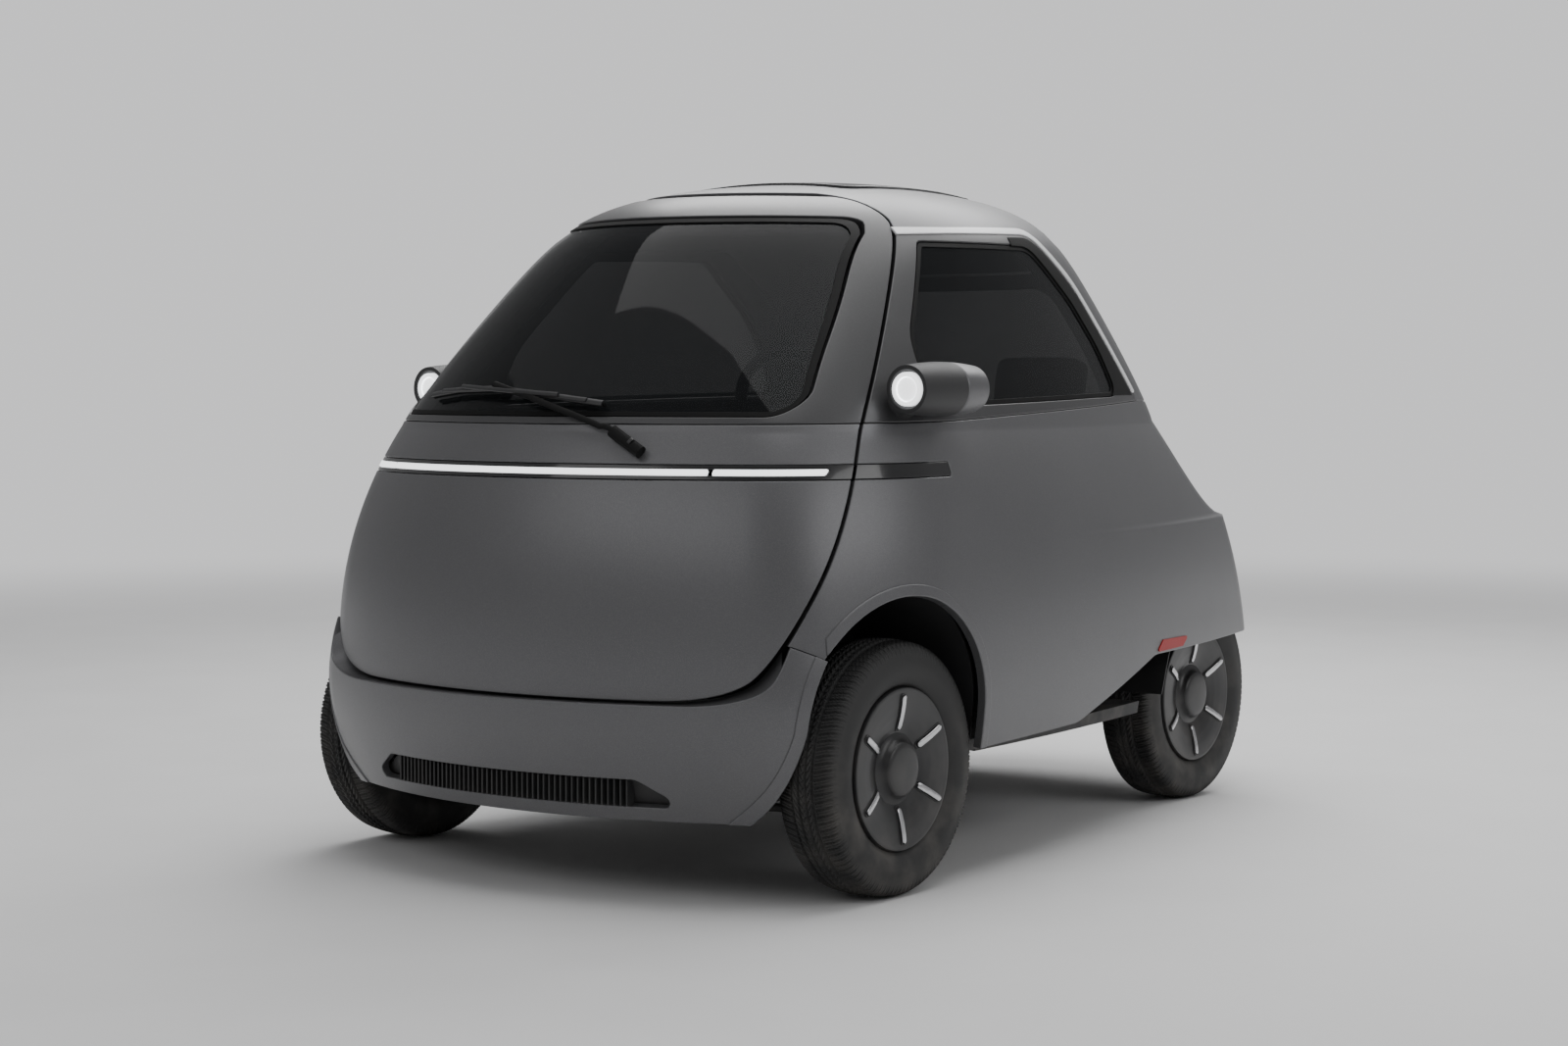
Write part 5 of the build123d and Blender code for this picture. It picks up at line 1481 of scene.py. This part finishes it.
@dataclass
class Cabin:
    """Bench, backrest, headrests and steering wheel."""
    bench: tuple = (940, 430, 104)
    bench_at: tuple = (0, 110, 500)
    back: tuple = (796, 396, 84)
    back_foot: tuple = (0, 320, 562)
    back_lean: float = -14.0
    headrest: tuple = (246, 124, 76)
    headrest_x: float = 230.0
    channels: int = 6
    fill: float = 0.8
    post_width: float = 11.0
    wheel_at: tuple = (300, -560, 945)
    wheel_tilt: float = 28.0
    wheel_radius: float = 172.0
    spoke_reach: float = 166.0

    @staticmethod
    def pad(size: Sequence[float], crown: float, channels: int, across: int = 96,
            deep: int = 64) -> MeshData:
        """Crowned cushion: a superellipsoid whose top swells between sewn channels.

        Angles a and b run over a sphere; each axis is the signed power of its sine or cosine,
        and the top is lowered along each channel by a narrow valley.
        """
        a = np.linspace(-math.pi / 2, math.pi / 2, deep)[:, None]
        b = np.linspace(0, 2 * math.pi, across, endpoint=False)[None]
        def power(v: Array, p: float) -> Array:
            """Signed power."""
            return np.sign(v) * np.abs(v) ** p
        x = power(np.cos(a), 0.45) * power(np.cos(b), 0.28)
        y = power(np.cos(a), 0.45) * power(np.sin(b), 0.28)
        z = power(np.sin(a), 0.55) * np.ones_like(b)
        pull = 1 - 0.035 * (1 - z ** 2) * (np.abs(x) ** 6 + np.abs(y) ** 6)
        valley = np.zeros_like(x)
        for k in range(channels):
            centre = -0.62 + 1.24 * k / max(channels - 1, 1)
            valley = valley + np.exp(-((x - centre) / 0.022) ** 2)
        dome = crown * (1 - np.clip(np.abs(x), 0, 1) ** 4) * (1 - np.clip(np.abs(y), 0, 1) ** 4)
        valley = valley * 9.0 * smooth_step(z, 0.3, 0.8) * (1 - np.abs(y) ** 10)
        lift = np.where(z > 0.3, dome - valley, 0.0)
        half = [part / 2 for part in size]
        pts = np.stack([x * pull * half[0], y * pull * half[1], z * half[2] + lift - crown * 0.5],
                       -1)
        tris = grid_tris(deep, across, close_columns=True)
        return outward(welded(MeshData(pts.reshape(-1, 3), tris)))

    def build(self) -> None:
        """Bench, backrest and headrests in woven cloth, the headrest posts, and the steering wheel.
        """
        cushion = moved(self.pad(self.bench, 10, self.channels), self.bench_at)
        self.padded("bench_cushion", cushion, ["seat_cushion"])
        lean = axis_turn("X", self.back_lean)
        upright = lean @ axis_turn("X", 90.0)
        base = np.array(self.back_foot)
        back = moved(self.pad(self.back, 8, self.channels), base + lean @ np.array([0, 50, 212]),
                     upright)
        self.padded("bench_back", back, ["seat_back"])
        for side, label in ((1, "left"), (-1, "right")):
            middle = side * self.headrest_x
            rest = moved(self.pad(self.headrest, 5, 0), base + lean @ np.array([middle, 55, 500]),
                         upright)
            self.padded(f"headrest_{label}", rest, ())
            for post in (-45, 45):
                ends = [base + lean @ np.array([middle + post, 55, h]) for h in (390, 450)]
                path = np.array([ends[0] * (1 - t) + ends[1] * t for t in (0, 0.5, 1)])
                rod = sweep(path, round_section(self.post_width, self.post_width, 2, 16),
                            np.array([1.0, 0, 0]))
                show(f"post_{label}_{'in' if post * side < 0 else 'out'}", rod, CHROME, "body")
        self.steering()

    def padded(self, name: str, data: MeshData, nodes: Sequence[str]) -> None:
        piece = show(name, data, CLOTH, "body", nodes, 60)

    def steering(self) -> None:
        """Rim as a circle swept round a circle, three spokes and a padded hub."""
        tilt = math.radians(self.wheel_tilt)
        toward = np.array([0, math.cos(tilt), math.sin(tilt)])
        up = np.array([0, -math.sin(tilt), math.cos(tilt)])
        basis = np.stack([np.array([1.0, 0, 0]), up, toward], 1)
        a = np.linspace(0, 2 * math.pi, 96, endpoint=False)
        ring = np.stack([self.wheel_radius * np.cos(a), self.wheel_radius * np.sin(a),
                         np.zeros(96)], 1)
        rim = sweep(ring, round_section(27, 25, 2.2, 20), np.array([0, 0, 1.0]), closed=True)
        show("wheel_rim", moved(rim, self.wheel_at, basis), LEATHER, "hand_wheel",
             ["steering_wheel"])
        profile = [(-16, 0), (-16, 34), (-8, 46), (4, 52), (9, 46), (12, 30), (12.5, 0)]
        turn = np.array([[0.0, 1.0, 0.0], [0.0, 0.0, 1.0], [1.0, 0.0, 0.0]])
        hub = moved(outward(revolve(np.array(profile, float), 64)), (0, 0, 0), turn)
        show("wheel_hub", moved(hub, self.wheel_at, basis), DARK_TRIM, "hand_wheel")
        r = np.linspace(40, self.spoke_reach, 16)
        path = np.stack([r, np.zeros(16), -4 + 5 * (r / self.spoke_reach) ** 2], 1)
        spoke = sweep(path, round_section(30, 9, 3.0, 20), np.array([0, 0, 1.0]))
        for k, angle in enumerate((0.0, 180.0, 270.0)):
            turned = moved(spoke, (0, 0, 0), axis_turn("Z", angle))
            show(f"wheel_spoke_{k}", moved(turned, self.wheel_at, basis), SILVER, "hand_wheel")


@dataclass
class FrameFinishes:
    """Finishes for the CAD nodes that stay in view."""

    def build(self) -> None:
        """Give each carried-over node its finish."""
        chassis = ["floor_pan", "front_suspension", "rear_suspension", "battery", "motor"]
        trim = ["grille", "front_liner_left", "front_liner_right", "rear_liners", "dash"]
        table = {CHASSIS: chassis + ["boot_floor"],
                 DARK_TRIM: trim + ["steering_column"],
                 STEEL: ["knuckle_left", "knuckle_right"],
                 RED_LENS: ["side_reflectors", "tail_lamps"]}
        for finish, nodes in table.items():
            for node in nodes:
                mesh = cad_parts[node].data
                mesh.materials.clear()
                mesh.materials.append(finish.material())
                LOG.info("node %s: %s", node, finish.name)


@dataclass
class Studio:
    """Camera, pale floor and soft lights."""
    focal_px: float = 2891.156
    yaw: float = -36.78846
    pitch: float = -2.84849
    roll: float = 0.017
    eye: tuple = (3.8968, -5.4582, 1.0355)
    width_px: float = 1600.0
    # name, place, aim, size and power of each soft light
    lamps: tuple = (("overhead", (0.0, 0.4, 5.0), (0, 0, 0.6), (5.0, 5.0), 170.0),
                    ("front_soft", (-0.5, -6.5, 4.6), (0, -0.4, 0.9), (7.0, 3.0), 60.0),
                    ("side_soft", (5.8, 0.4, 3.6), (0, 0.2, 0.7), (5.0, 2.4), 70.0),
                    ("rear_soft", (-1.5, 4.8, 5.3), (0, 0.2, 1.2), (7.0, 2.4), 280.0))

    def camera(self) -> None:
        """Camera at the viewing angle, from its heading, pitch and focal length."""
        yaw, pitch = math.radians(self.yaw), math.radians(self.pitch)
        ahead = Vector((math.sin(yaw) * math.cos(pitch), math.cos(yaw) * math.cos(pitch),
                        math.sin(pitch)))
        right = Vector((math.cos(yaw), -math.sin(yaw), 0.0))
        up = right.cross(ahead)
        data = bpy.data.cameras.new("view")
        data.sensor_fit = "HORIZONTAL"
        data.sensor_width = 36.0
        data.lens = self.focal_px / self.width_px * 36.0
        data.clip_end = 200.0
        camera = bpy.data.objects.new("view", data)
        turn = Matrix((right, up, -ahead)).transposed()
        camera.matrix_world = Matrix.Translation(self.eye) @ turn.to_4x4()
        bpy.context.scene.collection.objects.link(camera)
        bpy.context.scene.camera = camera

    def floor(self) -> None:
        """Pale floor that keeps the car's shadow."""
        rows, columns = 3, 3
        u, v = np.meshgrid(np.linspace(-40, 40, columns), np.linspace(-40, 40, rows))
        pts = np.stack([u.ravel(), v.ravel(), np.zeros(9)], 1) / MM
        obj = write_mesh("floor", MeshData(pts, grid_tris(rows, columns)))
        obj.data.materials.append(PaleFloor("Pale Floor", (0.78, 0.78, 0.78), 0.75,
                                            mottle=0.01).material())

    def lamp(self, name: str, place: Sequence[float], aim: Sequence[float],
             size: tuple[float, float], power: float) -> None:
        """Rectangular soft light aimed at a point."""
        data = bpy.data.lights.new(name, "AREA")
        data.shape = "RECTANGLE"
        data.size, data.size_y = size
        data.energy = power
        lamp = bpy.data.objects.new(name, data)
        lamp.location = place
        lamp.rotation_euler = (Vector(aim) - Vector(place)).to_track_quat("-Z", "Y").to_euler()
        bpy.context.scene.collection.objects.link(lamp)

    def build(self) -> None:
        """Camera, floor, world and lights."""
        self.camera()
        self.floor()
        world = bpy.data.worlds.new("studio")
        world.use_nodes = True
        tree = Tree(world.node_tree)
        world.node_tree.nodes.clear()
        path = tree.add("ShaderNodeLightPath")
        seen = tree.math("MAXIMUM", path.outputs["Is Camera Ray"],
                         path.outputs["Is Transmission Ray"])
        plain = tree.add("ShaderNodeBackground", {"Color": (0.80, 0.80, 0.81, 1), "Strength": 0.35})
        pale = tree.add("ShaderNodeBackground", {"Color": GLOW_COLOR, "Strength": 1.0})
        blend = tree.add("ShaderNodeMixShader", {0: seen, 1: plain.outputs[0], 2: pale.outputs[0]})
        tree.add("ShaderNodeOutputWorld", {"Surface": blend.outputs[0]})
        bpy.context.scene.world = world
        for lamp in self.lamps:
            self.lamp(*lamp)


def main() -> None:
    """Build every assembly in order."""
    logging.basicConfig(level=logging.INFO, format="%(name)s: %(message)s")
    Studio().build()
    skin = BodySkin()
    skin.build()
    Glazing().build()
    NoseLights().build(skin)
    BrightStrip().build(skin)
    RoadWheel().build()
    LampPods().build()
    Wiper().build()
    Cabin().build()
    FrameFinishes().build()


if __name__ == "__main__":
    main()
